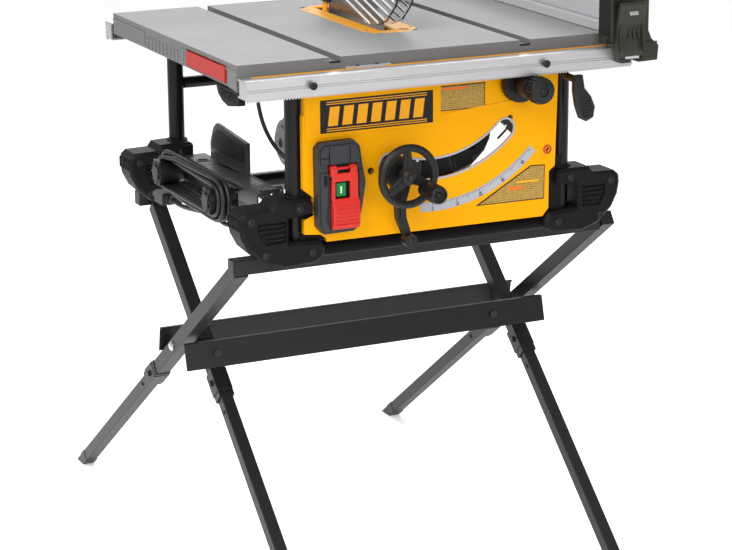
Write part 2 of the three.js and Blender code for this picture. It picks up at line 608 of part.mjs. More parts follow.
function bevelLock() {
  const { x, z, shaft } = WHEEL;
  const arm = slab("y", [
    [x - 15, z + 4], [x - 17, z - 14], [x - 9, z - 50], [x - 7, z - 76], [x + 2, z - 97], [x + 8, z - 112],
    [x + 19, z - 112], [x + 15, z - 92], [x + 9, z - 74], [x + 8, z - 50], [x + 20, z - 10], [x + 14, z + 4],
  ], -10, 2);
  const knob = rod("y", 11, -20, -2, x + 13, z - 111, 20);
  return cut(join(arm, knob, rod("y", 24, -12, 24, x, z, 24)), rod("y", shaft + GAP, -20, 30, x, z, 16));
}
piece(saw, "bevel_lock_lever", "blackPlastic", bevelLock());

// ---------- folding stand ----------
function bar(at) {
  const half = STOCK.outer / 2;
  return box(at.x, [at.y - half, at.y + half], [at.z - half, at.z + half]);
}

// A two-part square leg from a bar down to the floor, with its outer tube ending after sleeve mm.
// Its top end stands against the bar's underside, or passes beside the bar's end.
function leg(x, at, footY, sleeve, collar, past = false) {
  const run = footY - at.y;
  const drop = FLOOR - at.z;
  const length = Math.hypot(run, drop);
  const slope = Math.atan2(drop, run);
  const strip = (size, from, to, lift = 0) => {
    const inset = (STOCK.outer - size) / 2;
    const geometry = new THREE.BoxGeometry(size, to - from, size + lift);
    geometry.translate(x + inset + size / 2, (from + to) / 2, 0);
    return solid(geometry.rotateX(slope).translate(0, at.y, at.z));
  };
  const clear = (STOCK.outer / 2) * (Math.abs(Math.cos(slope)) + Math.abs(Math.sin(slope))) + GAP;
  const start = past ? -STOCK.outer / 2 : clear;
  const whole = join(strip(STOCK.outer, start, sleeve), strip(STOCK.inner, sleeve - 30, length + 40),
    strip(STOCK.outer + 3, sleeve - collar, sleeve - collar + 14));
  return cut(whole, box([x - 50, x + 80], [footY - 200, footY + 200], [FLOOR - 200, FLOOR]));
}

function channel(side, y, z, lean) {
  const height = 45;
  const sheet = 3;
  const lip = 7;
  const profile = [
    [y, z - height], [y + side * lean, z], [y + side * (lean + lip), z],
    [y + side * (lean + lip), z - sheet], [y + side * (lean + sheet), z - sheet],
    [y + side * sheet, z - height]];
  if (side > 0) profile.reverse();
  return slab("x", profile, 28, 728);
}

piece(stand, "front_bar", "standPaint", bar(BAR.front));
piece(stand, "leg_a", "standPaint", leg(LEGS.a, BAR.front, FEET.rear.y, 545, 60));
piece(stand, "leg_c", "standPaint", leg(LEGS.c, BAR.front, FEET.rear.y, 545, 60, true));
piece(stand, "rear_channel", "standPaint", channel(-1, 460, -541, 8));
piece(stand, "rear_bar", "standPaint", bar(BAR.rear));
piece(stand, "leg_b", "standPaint", leg(LEGS.b, BAR.rear, FEET.front.y, 430, 45));
piece(stand, "leg_d", "standPaint", leg(LEGS.d, BAR.rear, FEET.front.y, 430, 45));
piece(stand, "front_channel", "standPaint", channel(1, 320.5, -541, 12));

// ---------- stand the saw on the floor, centred ----------
const part = new THREE.Group();
const placed = new THREE.Group();
placed.add(saw, stand);
part.add(placed);

const CORD = ["cord_hank", "cord_lead", "cord_plug"];
const extent = new THREE.Box3();
placed.traverse((object) => {
  if (object.isMesh && !CORD.includes(object.name)) extent.expandByObject(object, true);
});
const centre = extent.getCenter(new THREE.Vector3());
placed.position.set(-centre.x, -centre.y, -extent.min.z);

export default part;
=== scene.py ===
"""A portable table saw on a folding stand: its looks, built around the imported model."""

import math

import bmesh
import bpy
from mathutils import Euler, Matrix, Vector


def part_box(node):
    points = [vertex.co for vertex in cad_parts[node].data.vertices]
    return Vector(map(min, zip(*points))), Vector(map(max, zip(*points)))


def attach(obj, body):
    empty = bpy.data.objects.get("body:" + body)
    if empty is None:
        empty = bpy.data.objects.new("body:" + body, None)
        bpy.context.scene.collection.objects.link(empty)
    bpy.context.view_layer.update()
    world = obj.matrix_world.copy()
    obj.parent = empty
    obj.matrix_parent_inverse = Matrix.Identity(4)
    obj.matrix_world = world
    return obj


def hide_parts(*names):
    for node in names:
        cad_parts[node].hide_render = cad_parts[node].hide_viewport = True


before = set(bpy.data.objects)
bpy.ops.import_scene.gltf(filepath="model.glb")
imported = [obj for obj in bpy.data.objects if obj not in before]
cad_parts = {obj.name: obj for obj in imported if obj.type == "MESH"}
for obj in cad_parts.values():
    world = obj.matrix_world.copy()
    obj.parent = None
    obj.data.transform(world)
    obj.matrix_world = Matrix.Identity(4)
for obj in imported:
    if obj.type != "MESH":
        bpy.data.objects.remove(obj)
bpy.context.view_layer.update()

# Pieces are made in millimetres from the front left corner of the table's surface:
# x to the right, y to the back, z up. HOME is that corner in the row frame, in metres.
THROAT_FRONT = 160
HOME = Vector((
    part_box("table_top")[0].x,
    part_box("throat_plate")[0].y - THROAT_FRONT / 1000,
    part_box("table_top")[1].z,
))
TO_FRAME = Matrix.Translation(HOME) @ Matrix.Scale(0.001, 4)


def place(x, y, z):
    """A point in millimetres from the table's corner, as a point of the row frame in metres."""
    return TO_FRAME @ Vector((x, y, z))


def add_object(name, data):
    obj = bpy.data.objects.new(name, data)
    bpy.context.scene.collection.objects.link(obj)
    return obj


# ---------- camera ----------
CAMERA_AT = (-1390.8, -3418.9, 683.8)
CAMERA_TURN = (25.096, 15.908, -0.397)  # to the right, down, and about the line of sight, in degrees


def add_camera():
    data = bpy.data.cameras.new("camera")
    data.sensor_width = 36
    data.lens = 120.12
    data.shift_x = 0.0045
    data.shift_y = 0.0285
    data.clip_end = 50
    camera = add_object("camera", data)
    yaw, down, roll = (math.radians(a) for a in CAMERA_TURN)
    turn = Matrix.Rotation(-yaw, 4, "Z") @ Matrix.Rotation(math.pi / 2 - down, 4, "X")
    camera.matrix_world = Matrix.Translation(place(*CAMERA_AT)) @ turn @ Matrix.Rotation(roll, 4, "Z")
    bpy.context.scene.camera = camera


add_camera()


# ---------- materials ----------
class Shading:
    """A material's nodes. An input is given a value or the output of another node."""

    def __init__(self, name):
        self.material = bpy.data.materials.new(name)
        self.material.use_nodes = True
        self.tree = self.material.node_tree
        self.shader = self.tree.nodes["Principled BSDF"]
        self.place = self.add("ShaderNodeTexCoord").outputs["Object"]

    def put(self, node, inputs):
        for key, value in inputs.items():
            if isinstance(value, bpy.types.NodeSocket):
                self.tree.links.new(value, node.inputs[key])
            else:
                node.inputs[key].default_value = value

    def look(self, inputs):
        """Sets the inputs of the material's own shader."""
        self.put(self.shader, inputs)

    def add(self, kind, inputs=None, **settings):
        node = self.tree.nodes.new(kind)
        for key, value in settings.items():
            setattr(node, key, value)
        self.put(node, inputs or {})
        return node

    def stretched(self, scale):
        return self.add("ShaderNodeMapping", {"Scale": scale, "Vector": self.place}).outputs["Vector"]

    def noise(self, vector, scale, detail=4, rough=0.55):
        return self.add("ShaderNodeTexNoise", {
            "Vector": vector, "Scale": scale, "Detail": detail, "Roughness": rough}).outputs["Fac"]

    def ramp(self, value, low, high, out_low=0.0, out_high=1.0):
        return self.add("ShaderNodeMapRange", {
            "Value": value, "From Min": low, "From Max": high, "To Min": out_low, "To Max": out_high,
        }).outputs["Result"]

    def maths(self, operation, a, b):
        return self.add("ShaderNodeMath", {0: a, 1: b}, operation=operation).outputs[0]

    def blend(self, a, b, share):
        """Two tones added, the first with its share and the second with the rest."""
        return self.maths("ADD", self.maths("MULTIPLY", a, share), self.maths("MULTIPLY", b, 1 - share))

    def vector(self, operation, a, b=(0, 0, 0)):
        return self.add("ShaderNodeVectorMath", {0: a, 1: b}, operation=operation).outputs

    def mix(self, share, first, second):
        return self.add("ShaderNodeMix", {"Factor": share, "A": first, "B": second},
                        data_type="RGBA").outputs["Result"]

    def normal(self):
        return self.add("ShaderNodeNewGeometry").outputs["Normal"]

    def edges(self, radius):
        """1 in patches along the edges, where a surface is rubbed, and 0 on the flats."""
        rounded = self.add("ShaderNodeBevel", {"Radius": radius}, samples=4).outputs[0]
        edge = self.ramp(self.vector("DOT_PRODUCT", rounded, self.normal())["Value"], 0.995, 0.93)
        return self.maths("MULTIPLY", edge, self.ramp(self.noise(self.place, 160, 4), 0.45, 0.62))

    def bump(self, height, strength, distance):
        node = self.add("ShaderNodeBump", {"Strength": strength, "Distance": distance, "Height": height})
        self.look({"Normal": node.outputs["Normal"]})


def shade(colour, share):
    """A colour made darker or lighter, as RGBA."""
    return tuple(min(1.0, c * share) for c in colour[:3]) + (1.0,)


ROUGH_SPREAD = 0.06  # how far a surface's roughness varies from its middle
WORN_EDGE = 0.0012  # metres
CLEAR_IOR = 1.45
TONES = (0.35, 0.65)  # the middle stretch of a noise, widened to run from one tone to the other


def surface(name, colour, rough, metal=0.0, tint=0.08, blotch=25, grain=900, relief=0.00002,
            wear=None, worn=0.35, specular=0.5):
    """A painted, moulded or metal surface: blotches of tone, fine grain, and lighter worn edges."""
    s = Shading(name)
    fine = s.noise(s.place, grain, 3)
    tone = s.blend(s.noise(s.place, blotch, 5), fine, 0.6)
    base = s.mix(s.ramp(tone, *TONES), shade(colour, 1 - tint), shade(colour, 1 + tint))
    if wear:
        base = s.mix(s.maths("MULTIPLY", s.edges(WORN_EDGE), worn), base, shade(wear, 1))
    s.look({"Base Color": base, "Metallic": metal, "Specular IOR Level": specular,
            "Roughness": s.ramp(fine, 0.3, 0.7, rough - ROUGH_SPREAD, rough + ROUGH_SPREAD)})
    s.bump(fine, 0.6, relief)
    return s.material


def ground_table():
    """A casting ground on top, with fine lines from front to back, and painted on its sides."""
    s = Shading("ground_casting")
    lines = s.noise(s.stretched((700, 9, 60)), 1.0, 4, 0.6)
    tone = s.blend(lines, s.noise(s.place, 6, 5), 0.5)
    ground = s.mix(s.ramp(tone, *TONES), (0.20, 0.198, 0.202, 1), (0.255, 0.253, 0.257, 1))
    pores = s.noise(s.place, 900, 2)
    painted = s.mix(s.ramp(pores, *TONES), (0.125, 0.125, 0.127, 1), (0.15, 0.15, 0.153, 1))
    up = s.ramp(s.add("ShaderNodeSeparateXYZ", {0: s.normal()}).outputs["Z"], 0.8, 0.95)
    s.look({"Base Color": s.mix(up, painted, ground), "Metallic": 0.0, "Specular IOR Level": 0.12,
            "Roughness": s.ramp(lines, 0.3, 0.7, 0.42, 0.56)})
    s.bump(lines, 0.3, 0.00003)
    return s.material


def extrusion(name, colour, stretch, metal=0.85):
    """Extruded aluminium: faint drawn lines along its length."""
    s = Shading(name)
    lines = s.noise(s.stretched(stretch), 1.0, 3, 0.6)
    tone = s.blend(lines, s.noise(s.place, 12, 4), 0.6)
    s.look({"Base Color": s.mix(s.ramp(tone, *TONES), shade(colour, 0.93), shade(colour, 1.05)),
            "Metallic": metal, "Roughness": s.ramp(lines, 0.3, 0.7, 0.3, 0.44)})
    s.bump(lines, 0.3, 0.00002)
    return s.material


def turned_steel(name, colour, centre):
    """Steel ground in circles about an axis along X."""
    s = Shading(name)
    offset = s.vector("SUBTRACT", s.place, centre)[0]
    radius = s.vector("LENGTH", s.vector("MULTIPLY", offset, (0, 1, 1))[0])["Value"]
    rings = s.noise(s.add("ShaderNodeCombineXYZ", {0: radius}).outputs[0], 2200, 3, 0.6)
    s.look({"Base Color": s.mix(s.ramp(rings, 0.3, 0.7), shade(colour, 0.88), shade(colour, 1.08)),
            "Metallic": 1.0, "Roughness": s.ramp(rings, 0.3, 0.7, 0.2, 0.38)})
    s.bump(rings, 0.25, 0.00002)
    return s.material


def clear_plastic():
    """Clear moulded polycarbonate with faint ripples and handling haze."""
    s = Shading("clear_plastic")
    s.look({"Base Color": (0.93, 0.95, 0.96, 1), "Transmission Weight": 1.0, "IOR": CLEAR_IOR,
            "Roughness": s.ramp(s.noise(s.place, 40, 4), 0.4, 0.7, 0.03, 0.16)})
    s.bump(s.noise(s.place, 60, 2), 0.3, 0.0002)
    return s.material


def frosted_plastic():
    """The clear guard's moulded ribs, hazy where they scatter the light."""
    s = Shading("ribbed_clear_plastic")
    haze = s.noise(s.stretched((60, 60, 200)), 1.0, 4)
    s.look({"Base Color": s.mix(haze, (0.90, 0.92, 0.94, 1), (0.98, 0.99, 1.0, 1)), "IOR": CLEAR_IOR,
            "Transmission Weight": 0.25, "Roughness": s.ramp(haze, 0.4, 0.7, 0.12, 0.3)})
    s.bump(haze, 0.3, 0.0002)
    return s.material


def printed_label(name, paper, ink):
    """A paper label with rows of tiny print too small to read."""
    s = Shading(name)
    rows = s.add("ShaderNodeTexWave", {"Scale": 90, "Distortion": 0.0, "Vector": s.place},
                 wave_type="BANDS", bands_direction="Z")
    marks = s.ramp(s.noise(s.stretched((900, 1, 300)), 1.0, 2), 0.48, 0.56)
    share = s.maths("MULTIPLY", s.ramp(rows.outputs["Fac"], 0.4, 0.7), marks)
    s.look({"Base Color": s.mix(share, shade(paper, 1), shade(ink, 1)),
            "Roughness": s.ramp(marks, 0, 1, 0.4, 0.5)})
    return s.material


def blade_centre():
    low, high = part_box("saw_blade")
    return tuple((low + high) / 2)


DARK_WEAR = (0.05, 0.05, 0.05)  # the tone of worn edges on black parts
LOOK = {
    "cast": ground_table(),
    "rough_cast": surface("rough_casting", (0.22, 0.22, 0.225), 0.55, 0.4, tint=0.06, grain=500,
                          relief=0.00008),
    "skirt": surface("painted_casting", (0.135, 0.135, 0.138), 0.5, 0.1, tint=0.06, relief=0.00004),
    "yellow": surface("yellow_plastic", (0.72, 0.315, 0.0), 0.45, tint=0.02, grain=1400, relief=0.00001,
                      wear=(0.9, 0.55, 0.12), worn=0.2, specular=0.08),
    "yellow_paint": surface("yellow_paint", (0.72, 0.31, 0.0), 0.4, tint=0.03, relief=0.00001,
                            specular=0.25),
    "rail": extrusion("rail_aluminium", (0.49, 0.49, 0.50), (9, 500, 900)),
    "fence": extrusion("fence_aluminium", (0.50, 0.505, 0.52), (500, 9, 900), 0.3),
    "motor": surface("motor_casting", (0.33, 0.34, 0.35), 0.4, 0.3, tint=0.05, grain=600, relief=0.00005),
    "tube": surface("black_powder_coat", (0.003, 0.003, 0.0033), 0.3, tint=0.12, grain=1500,
                    relief=0.00003, wear=DARK_WEAR, specular=0.25),
    # A darker copy of the black powder coat, for the front tube only: painted shade where the panel and
    # table shadow it.
    "painted_shade_tube": surface("powder_coat_with_painted_shade", (0.0015, 0.0015, 0.0016), 0.5, tint=0.12, grain=1500,
                        relief=0.00003, specular=0.08),
    "tray": surface("tray_paint", (0.028, 0.028, 0.029), 0.3, tint=0.1, grain=1500,
                    relief=0.00003, wear=(0.2, 0.2, 0.2), worn=0.5),
    "bumper": surface("charcoal_plastic", (0.0065, 0.0065, 0.007), 0.5, tint=0.12, grain=1100,
                      relief=0.00007, wear=DARK_WEAR, worn=0.5, specular=0.1),
    "plastic": surface("black_plastic", (0.006, 0.006, 0.0065), 0.40, tint=0.12, grain=1300, relief=0.00004,
                       wear=DARK_WEAR, worn=0.4, specular=0.3),
    "latch": surface("latch_plastic", (0.021, 0.021, 0.015), 0.34, tint=0.12, relief=0.00003,
                     wear=(0.09, 0.09, 0.075), worn=0.4, specular=0.3),
    "grey_plastic": surface("grey_plastic", (0.026, 0.028, 0.031), 0.45, grain=1200, relief=0.00004,
                            wear=(0.07, 0.07, 0.07), specular=0.25),
    "pale_grey": surface("pale_grey_plastic", (0.33, 0.34, 0.37), 0.45, tint=0.05, grain=1200, specular=0.3),
    "red": surface("red_plastic", (0.50, 0.018, 0.010), 0.36, tint=0.04, grain=1200,
                   wear=(0.7, 0.14, 0.1), worn=0.3, specular=0.3),
    "red_stick": surface("red_stick_plastic", (0.35, 0.012, 0.006), 0.5, tint=0.05, grain=700,
                         relief=0.00004, wear=(0.7, 0.2, 0.14), worn=0.3, specular=0.35),
    "green": surface("green_plastic", (0.0, 0.15, 0.028), 0.32, tint=0.05, grain=1200, relief=0.00001,
                     specular=0.3),
    "steel": surface("zinc_plate", (0.60, 0.61, 0.62), 0.28, 1.0, tint=0.06, blotch=60, grain=700,
                     relief=0.00003),
    "dark_steel": surface("black_oxide", (0.018, 0.018, 0.019), 0.35, 0.3, tint=0.15, relief=0.00003,
                          specular=0.35),
    "orange": surface("orange_paint", (0.85, 0.34, 0.005), 0.38, tint=0.04, specular=0.3),
    "stand": surface("stand_powder_coat", (0.010, 0.010, 0.0105), 0.42, tint=0.10, grain=1600,
                     relief=0.00005, wear=(0.07, 0.07, 0.07), worn=0.45, specular=0.28),
    "rubber": surface("cord_rubber", (0.009, 0.009, 0.0095), 0.42, tint=0.15, grain=700, relief=0.00005,
                      specular=0.35),
    "print": surface("black_print", (0.007, 0.008, 0.012), 0.4, grain=1500, relief=0.000004, specular=0.2),
    "white": surface("white_print", (0.85, 0.85, 0.84), 0.45, tint=0.03, grain=1500, relief=0.000004),
    "amber": surface("amber_label", (0.70, 0.13, 0.012), 0.45, tint=0.05, grain=1500, relief=0.000004,
                     specular=0.2),
    "khaki": printed_label("khaki_label", (0.36, 0.215, 0.025), (0.08, 0.055, 0.015)),
    "blade": turned_steel("blade_steel", (0.25, 0.22, 0.19), blade_centre()),
    "clear": clear_plastic(),
    "ribbed_clear": frosted_plastic(),
}


# ---------- smooth shading and rounded edges ----------
WELD = 2e-6  # metres
SHARP = math.radians(30)  # an edge that stays sharp
ROUNDED = math.radians(32)  # an edge that is rounded


def smoother():
    """A geometry node group: welds the faces, then shades smooth all but the edges over 30 degrees."""
    group = bpy.data.node_groups.new("weld_and_smooth", "GeometryNodeTree")
    group.interface.new_socket("Geometry", in_out="INPUT", socket_type="NodeSocketGeometry")
    group.interface.new_socket("Geometry", in_out="OUTPUT", socket_type="NodeSocketGeometry")
    new, link = group.nodes.new, group.links.new
    weld = new("GeometryNodeMergeByDistance")
    weld.inputs["Distance"].default_value = WELD
    bare = new("GeometryNodeRemoveAttribute")
    bare.inputs["Name"].default_value = "custom_normal"
    faces = new("GeometryNodeSetShadeSmooth")
    edges = new("GeometryNodeSetShadeSmooth")
    edges.domain = "EDGE"
    edges.inputs["Shade Smooth"].default_value = False
    angle = new("GeometryNodeInputMeshEdgeAngle")
    sharp = new("FunctionNodeCompare")
    sharp.operation = "GREATER_THAN"
    sharp.inputs["B"].default_value = SHARP
    link(new("NodeGroupInput").outputs[0], weld.inputs["Geometry"])
    link(weld.outputs[0], bare.inputs["Geometry"])
    link(bare.outputs[0], faces.inputs["Geometry"])
    link(faces.outputs[0], edges.inputs["Geometry"])
    link(angle.outputs["Unsigned Angle"], sharp.inputs["A"])
    link(sharp.outputs[0], edges.inputs["Selection"])
    link(edges.outputs[0], new("NodeGroupOutput").inputs[0])
    return group


SMOOTHER = smoother()


def soften(obj, edge):
    """Smooth shading, and edges rounded by so many millimetres."""
    obj.modifiers.new("smooth", "NODES").node_group = SMOOTHER
    if edge:
        bevel = obj.modifiers.new("edges", "BEVEL")
        bevel.width = edge / 1000
        bevel.segments = 2
        bevel.limit_method = "ANGLE"
        bevel.angle_limit = ROUNDED
        bevel.harden_normals = True


def finish_node(node, look, edge):
    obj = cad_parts[node]
    obj.data.materials.clear()
    obj.data.materials.append(LOOK[look])
    soften(obj, edge)


# look, edge radius and names of the CAD nodes that show
CAD_LOOKS = (
    ("cast", 0.8, "table_top"),
    ("rough_cast", 1.5, "gear_case"),
    ("yellow", 0.9, "front_panel"),
    ("yellow_paint", 0.4, "throat_plate"),
    ("motor", 2.0, "motor"),
    ("tube", 0.6, "post_front_left post_front_right post_rear_left post_rear_right rear_tube "
                  "rear_cross_tube"),
    # the front tube takes the darker coat: painted shade under the panel and table
    ("painted_shade_tube", 0.6, "front_tube"),
    ("tray", 0.8, "side_channel"),
    ("bumper", 3.2, "bumper_front_left bumper_front_right bumper_rear_left bumper_rear_right"),
    ("grey_plastic", 1.6, "switch_housing"),
    ("plastic", 1.0, "cord_bracket pinion_shaft"),
    ("plastic", 0.8, "rail_knob blade_shroud dust_port"),
    ("plastic", 1.5, "rail_lock_lever"),
    ("plastic", 0.6, "tilt_plate lift_guides height_wheel"),
    ("plastic", 1.6, "bevel_lock_lever"),
    ("latch", 1.4, "fence_head fence_tail"),
    ("latch", 1.0, "fence_latch_front fence_latch_rear"),
    ("latch", 1.2, "narrow_fence"),
    ("red_stick", 0.6, "push_stick"),
    ("green", 0.8, "start_button"),
    ("steel", 0.5, "lift_screw"),
    ("steel", 0.6, "arbor"),
    ("orange", 0.3, "riving_knife"),
    ("orange", 0.6, "guard_arm"),
    ("blade", 0.2, "saw_blade"),
    ("stand", 1.6, "front_bar rear_bar leg_a leg_b leg_c leg_d"),
    ("stand", 0.8, "front_channel rear_channel"),
    ("rubber", 0, "switch_cable"),
    ("rubber", 0.8, "strain_relief"),
    ("rubber", 1.5, "cord_plug"),
)
for look, edge, nodes in CAD_LOOKS:
    for node in nodes.split():
        finish_node(node, look, edge)


# ---------- pieces ----------
class Model:
    """Pieces of one body, each built up from simple solids, in millimetres from the table's corner."""

    def __init__(self, body):
        self.body = body
        self.mesh = bmesh.new()

    def box(self, x, y, z, turn=None, about=None):
        size = Vector((x[1] - x[0], y[1] - y[0], z[1] - z[0]))
        middle = Vector((x[0] + x[1], y[0] + y[1], z[0] + z[1])) / 2
        made = bmesh.ops.create_cube(self.mesh, size=1, matrix=Matrix.Translation(middle) @ Matrix.Diagonal(
            (*size, 1)))["verts"]
        return self.turned(made, turn, about or middle)

    def turned(self, verts, turn, about):
        if turn:
            bmesh.ops.rotate(self.mesh, verts=verts, cent=about, matrix=Euler(
                [math.radians(a) for a in turn]).to_matrix())
        return verts

    def prism(self, axis, outline, low, high):
        """An outline in the two other axes, in X, Y, Z order, from low to high along the axis."""
        def corner(point, along):
            u, v = point
            return {"x": (along, u, v), "y": (u, along, v), "z": (u, v, along)}[axis]
        first = [self.mesh.verts.new(corner(p, low)) for p in outline]
        last = [self.mesh.verts.new(corner(p, high)) for p in outline]
        faces = [self.mesh.faces.new(first), self.mesh.faces.new(list(reversed(last)))]
        count = len(outline)
        for i in range(count):
            j = (i + 1) % count
            faces.append(self.mesh.faces.new((first[i], last[i], last[j], first[j])))
        bmesh.ops.recalc_face_normals(self.mesh, faces=faces)
        return first + last

    def turn(self, axis, centre, profile, steps=32):
        """A profile of (radius, place along the axis) turned about the axis through the centre."""
        side, up = {"x": ("y", "z"), "y": ("x", "z"), "z": ("x", "y")}[axis]
        rings = []
        for radius, along in profile:
            count = steps if radius > 0.01 else 1
            ring = []
            for i in range(count):
                angle = 2 * math.pi * i / steps
                point = Vector(centre)
                setattr(point, axis, getattr(point, axis) + along)
                setattr(point, side, getattr(point, side) + radius * math.cos(angle))
                setattr(point, up, getattr(point, up) + radius * math.sin(angle))
                ring.append(self.mesh.verts.new(point))
            rings.append(ring)
        faces = []
        closed = profile[0][0] > 0.01 and profile[-1][0] > 0.01
        pairs = list(zip(rings, rings[1:])) + ([(rings[-1], rings[0])] if closed else [])
        for a, b in pairs:
            for i in range(steps):
                j = (i + 1) % steps
                corners = [a[i % len(a)], a[j % len(a)], b[j % len(b)], b[i % len(b)]]
                corners = [c for k, c in enumerate(corners) if c not in corners[:k]]
                if len(corners) > 2:
                    faces.append(self.mesh.faces.new(corners))
        bmesh.ops.recalc_face_normals(self.mesh, faces=faces)
        return [v for ring in rings for v in ring]

    def disc(self, axis, centre, radius, low, high, steps, hole=0):
        """A round plate or ring from low to high along the axis."""
        self.turn(axis, centre, [(hole, low), (radius, low), (radius, high), (hole, high)], steps)

    def screw(self, centre, axis, radius, toward=-1):
        """A button head screw with a hex socket, whose head stands toward -1 or +1 along the axis."""
        height = radius * 0.55
        profile = [(0, 0), (radius, 0), (radius, height * 0.35), (radius * 0.8, height * 0.85),
                   (radius * 0.5, height), (radius * 0.42, height), (radius * 0.36, height * 0.3),
                   (0, height * 0.3)]
        self.turn(axis, centre, [(r, toward * h) for r, h in profile], 18)

    def bolt(self, centre, axis, radius, height, toward=-1):
        """A hex head over a washer."""
        washer = [(0, 0), (radius * 1.25, 0), (radius * 1.25, height * 0.2), (0, height * 0.2)]
        self.turn(axis, centre, [(r, toward * h) for r, h in washer], 24)
        head = [(0, height * 0.2), (radius, height * 0.2), (radius, height * 0.9), (radius * 0.86, height),
                (0, height)]
        self.turn(axis, centre, [(r, toward * h) for r, h in head], 6)

    def done(self, name, look, edge, replaces=()):
        """Makes a piece of what has been built, and clears the way for the next one."""
        self.mesh.transform(TO_FRAME)
        data = bpy.data.meshes.new(name)
        self.mesh.to_mesh(data)
        self.mesh.free()
        self.mesh = bmesh.new()
        obj = add_object(name, data)
        data.materials.append(LOOK[look])
        soften(obj, edge)
        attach(obj, self.body)
        if replaces:
            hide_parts(*replaces)


def arc(u, v, radius, start, end, steps):
    """Points about (u, v), with angles in degrees from straight down, positive to the right."""
    angles = [math.radians(start + (end - start) * i / steps) for i in range(steps + 1)]
    return [(u + radius * math.sin(a), v - radius * math.cos(a)) for a in angles]


def band(u, v, inner, outer, start, end, steps=24):
    return arc(u, v, outer, start, end, steps) + arc(u, v, inner, end, start, steps)


# ---------- sliding rails ----------
TABLE_DEPTH = 559
RAIL = (-1, 680)  # the rails' ends
TEETH = 136
TOOTH = 5.0  # pitch of the rack along the rails' lower edges


def add_rail(side, place_y):
    """A grooved channel with a rack along its lower edge, and its pegs."""
    section = [
        (-40, -48.4), (-40, -36.6), (-39, -36.6), (-39, -35.2), (-40, -35.2), (-40, -33.4), (-39, -33.4),
        (-39, -32), (-40, -32), (-40, -18.7), (-6, -18.7), (-6, -21.9), (-36.8, -21.9), (-36.8, -45.4),
        (-6, -45.4), (-6, -48.4)]
    rack = [(RAIL[0], -48.3)]
    for i in range(TEETH):
        x = RAIL[0] + i * TOOTH
        rack += [(x + 0.5, -49.2), (x + 1.5, -52), (x + 3.5, -52), (x + 4.5, -49.2)]
    rack.append((RAIL[1], -48.3))
    m = Model("rails")
    m.prism("x", [(place_y(y), z) for y, z in section], *RAIL)
    m.prism("y", rack, *sorted((place_y(-40), place_y(-37.3))))
    for x in (RAIL[0], RAIL[1] - 3):
        m.box((x, x + 3), sorted((place_y(-37), place_y(-12))), (-46, -21))
        m.box((x + 0.4, x + 2.6), sorted((place_y(-40.4), place_y(-36))), (-31.4, -20))
    m.done(f"{side}_rail_extrusion", "rail", 0.3, [f"{side}_rail"])
    for x in (108, 517, 671):
        profile = [(0, -49), (5.6, -49), (6.3, -48.2), (6.3, -46.4), (4.4, -45.6), (4.4, -40), (0, -40)]
        m.turn("y", (x, 0, -33), [(r, place_y(y)) for r, y in profile], 20)
    m.done(f"{side}_rail_pegs", "plastic", 0.2)


def add_scale():
    """The rip scale on the front rail, and the window that reads it."""
    m = Model("rails")
    m.box((20, 655), (-15, -6.6), (-18.7, -18.3))
    m.done("rip_scale", "yellow_paint", 0)
    for i in range(123):
        x = 26 + i * 5
        m.box((x, x + 0.6), (-9.6 if i % 5 else -12.4, -7), (-18.3, -18.15))
    m.done("rip_scale_lines", "print", 0)
    m = Model("saw_frame")
    m.box((183, 260), (-5.4, -0.4), (-20, -16.6))
    m.prism("x", [(-14, -17.4), (-5, -16.2), (-5, -17.6), (-14, -18.1)], 196, 247)
    m.done("scale_window", "pale_grey", 0.3)
    for x in (203, 236):
        m.screw((x, -3, -16.6), "z", 3.2, 1)
    m.done("scale_window_screws", "dark_steel", 0.1)


add_rail("front", lambda y: y)
add_rail("rear", lambda y: TABLE_DEPTH - y)
add_scale()


# ---------- rip fence ----------
FENCE_LEFT, FENCE_RIGHT = 648, 692
GROOVE = 1.6  # depth of the grooves in the fence's sides


def add_fence():
    m = Model("fence")
    left = [(0, 1), (0, 16), (GROOVE, 16), (GROOVE, 21), (0, 21), (0, 56), (GROOVE, 56), (GROOVE, 61),
            (0, 61), (0, 77)]
    right = [(FENCE_RIGHT - u, z) for u, z in reversed(left)]
    left = [(FENCE_LEFT + u, z) for u, z in left]
    m.prism("y", left + right, -20, 588)
    m.done("fence_extrusion", "fence", 0.5, ["fence_beam"])
    for y in (-63.6, 618):
        out = -1 if y < 0 else 1
        low, high = sorted((y, y + out * 2.4))
        m.box((624, 631), (low, high), (-4, 74))
        m.box((682, 693), (low, high), (12, 74))
        m.box((683, 711), (low, high), (-37, -8))
        m.box((642, 651), (low, high), (-37, -10))
    m.done("fence_end_ribs", "latch", 0.6)
    m = Model("fence_latch_front")
    for x in (652, 660, 668):
        m.box((x, x + 4), (-74.3, -71), (2, 34), (-9, 0, 0))
    m.box((634, 637), (-77, -70), (-22, 50), (-13, 0, 0))
    m.box((676, 679), (-77, -70), (-22, 50), (-13, 0, 0))
    m.done("latch_ribs", "latch", 0.5)
    m.box((650, 666), (-79.5, -78.6), (39.5, 46.5), (-20, 0, 0))
    m.done("latch_plate", "steel", 0.3)
    m = Model("fence")
    m.prism("y", [(648, -25.6), (677, -25.6), (677, -33.5), (652, -33.5)], -66.4, -62.6)
    m.done("strike_plate", "steel", 0.3)
    m.box((627.2, 641), (-66.8, -62.6), (2, 79))
    m.box((626.4, 627.4), (-62.6, -22), (3, 79))
    m.done("head_cover", "plastic", 0.4)
    m = Model("narrow_fence")
    for y in range(30, 560, 44):
        m.box((708.5, 710), (y, y + 3), (12, 50))
    m.done("narrow_fence_ribs", "latch", 0.4)


add_fence()


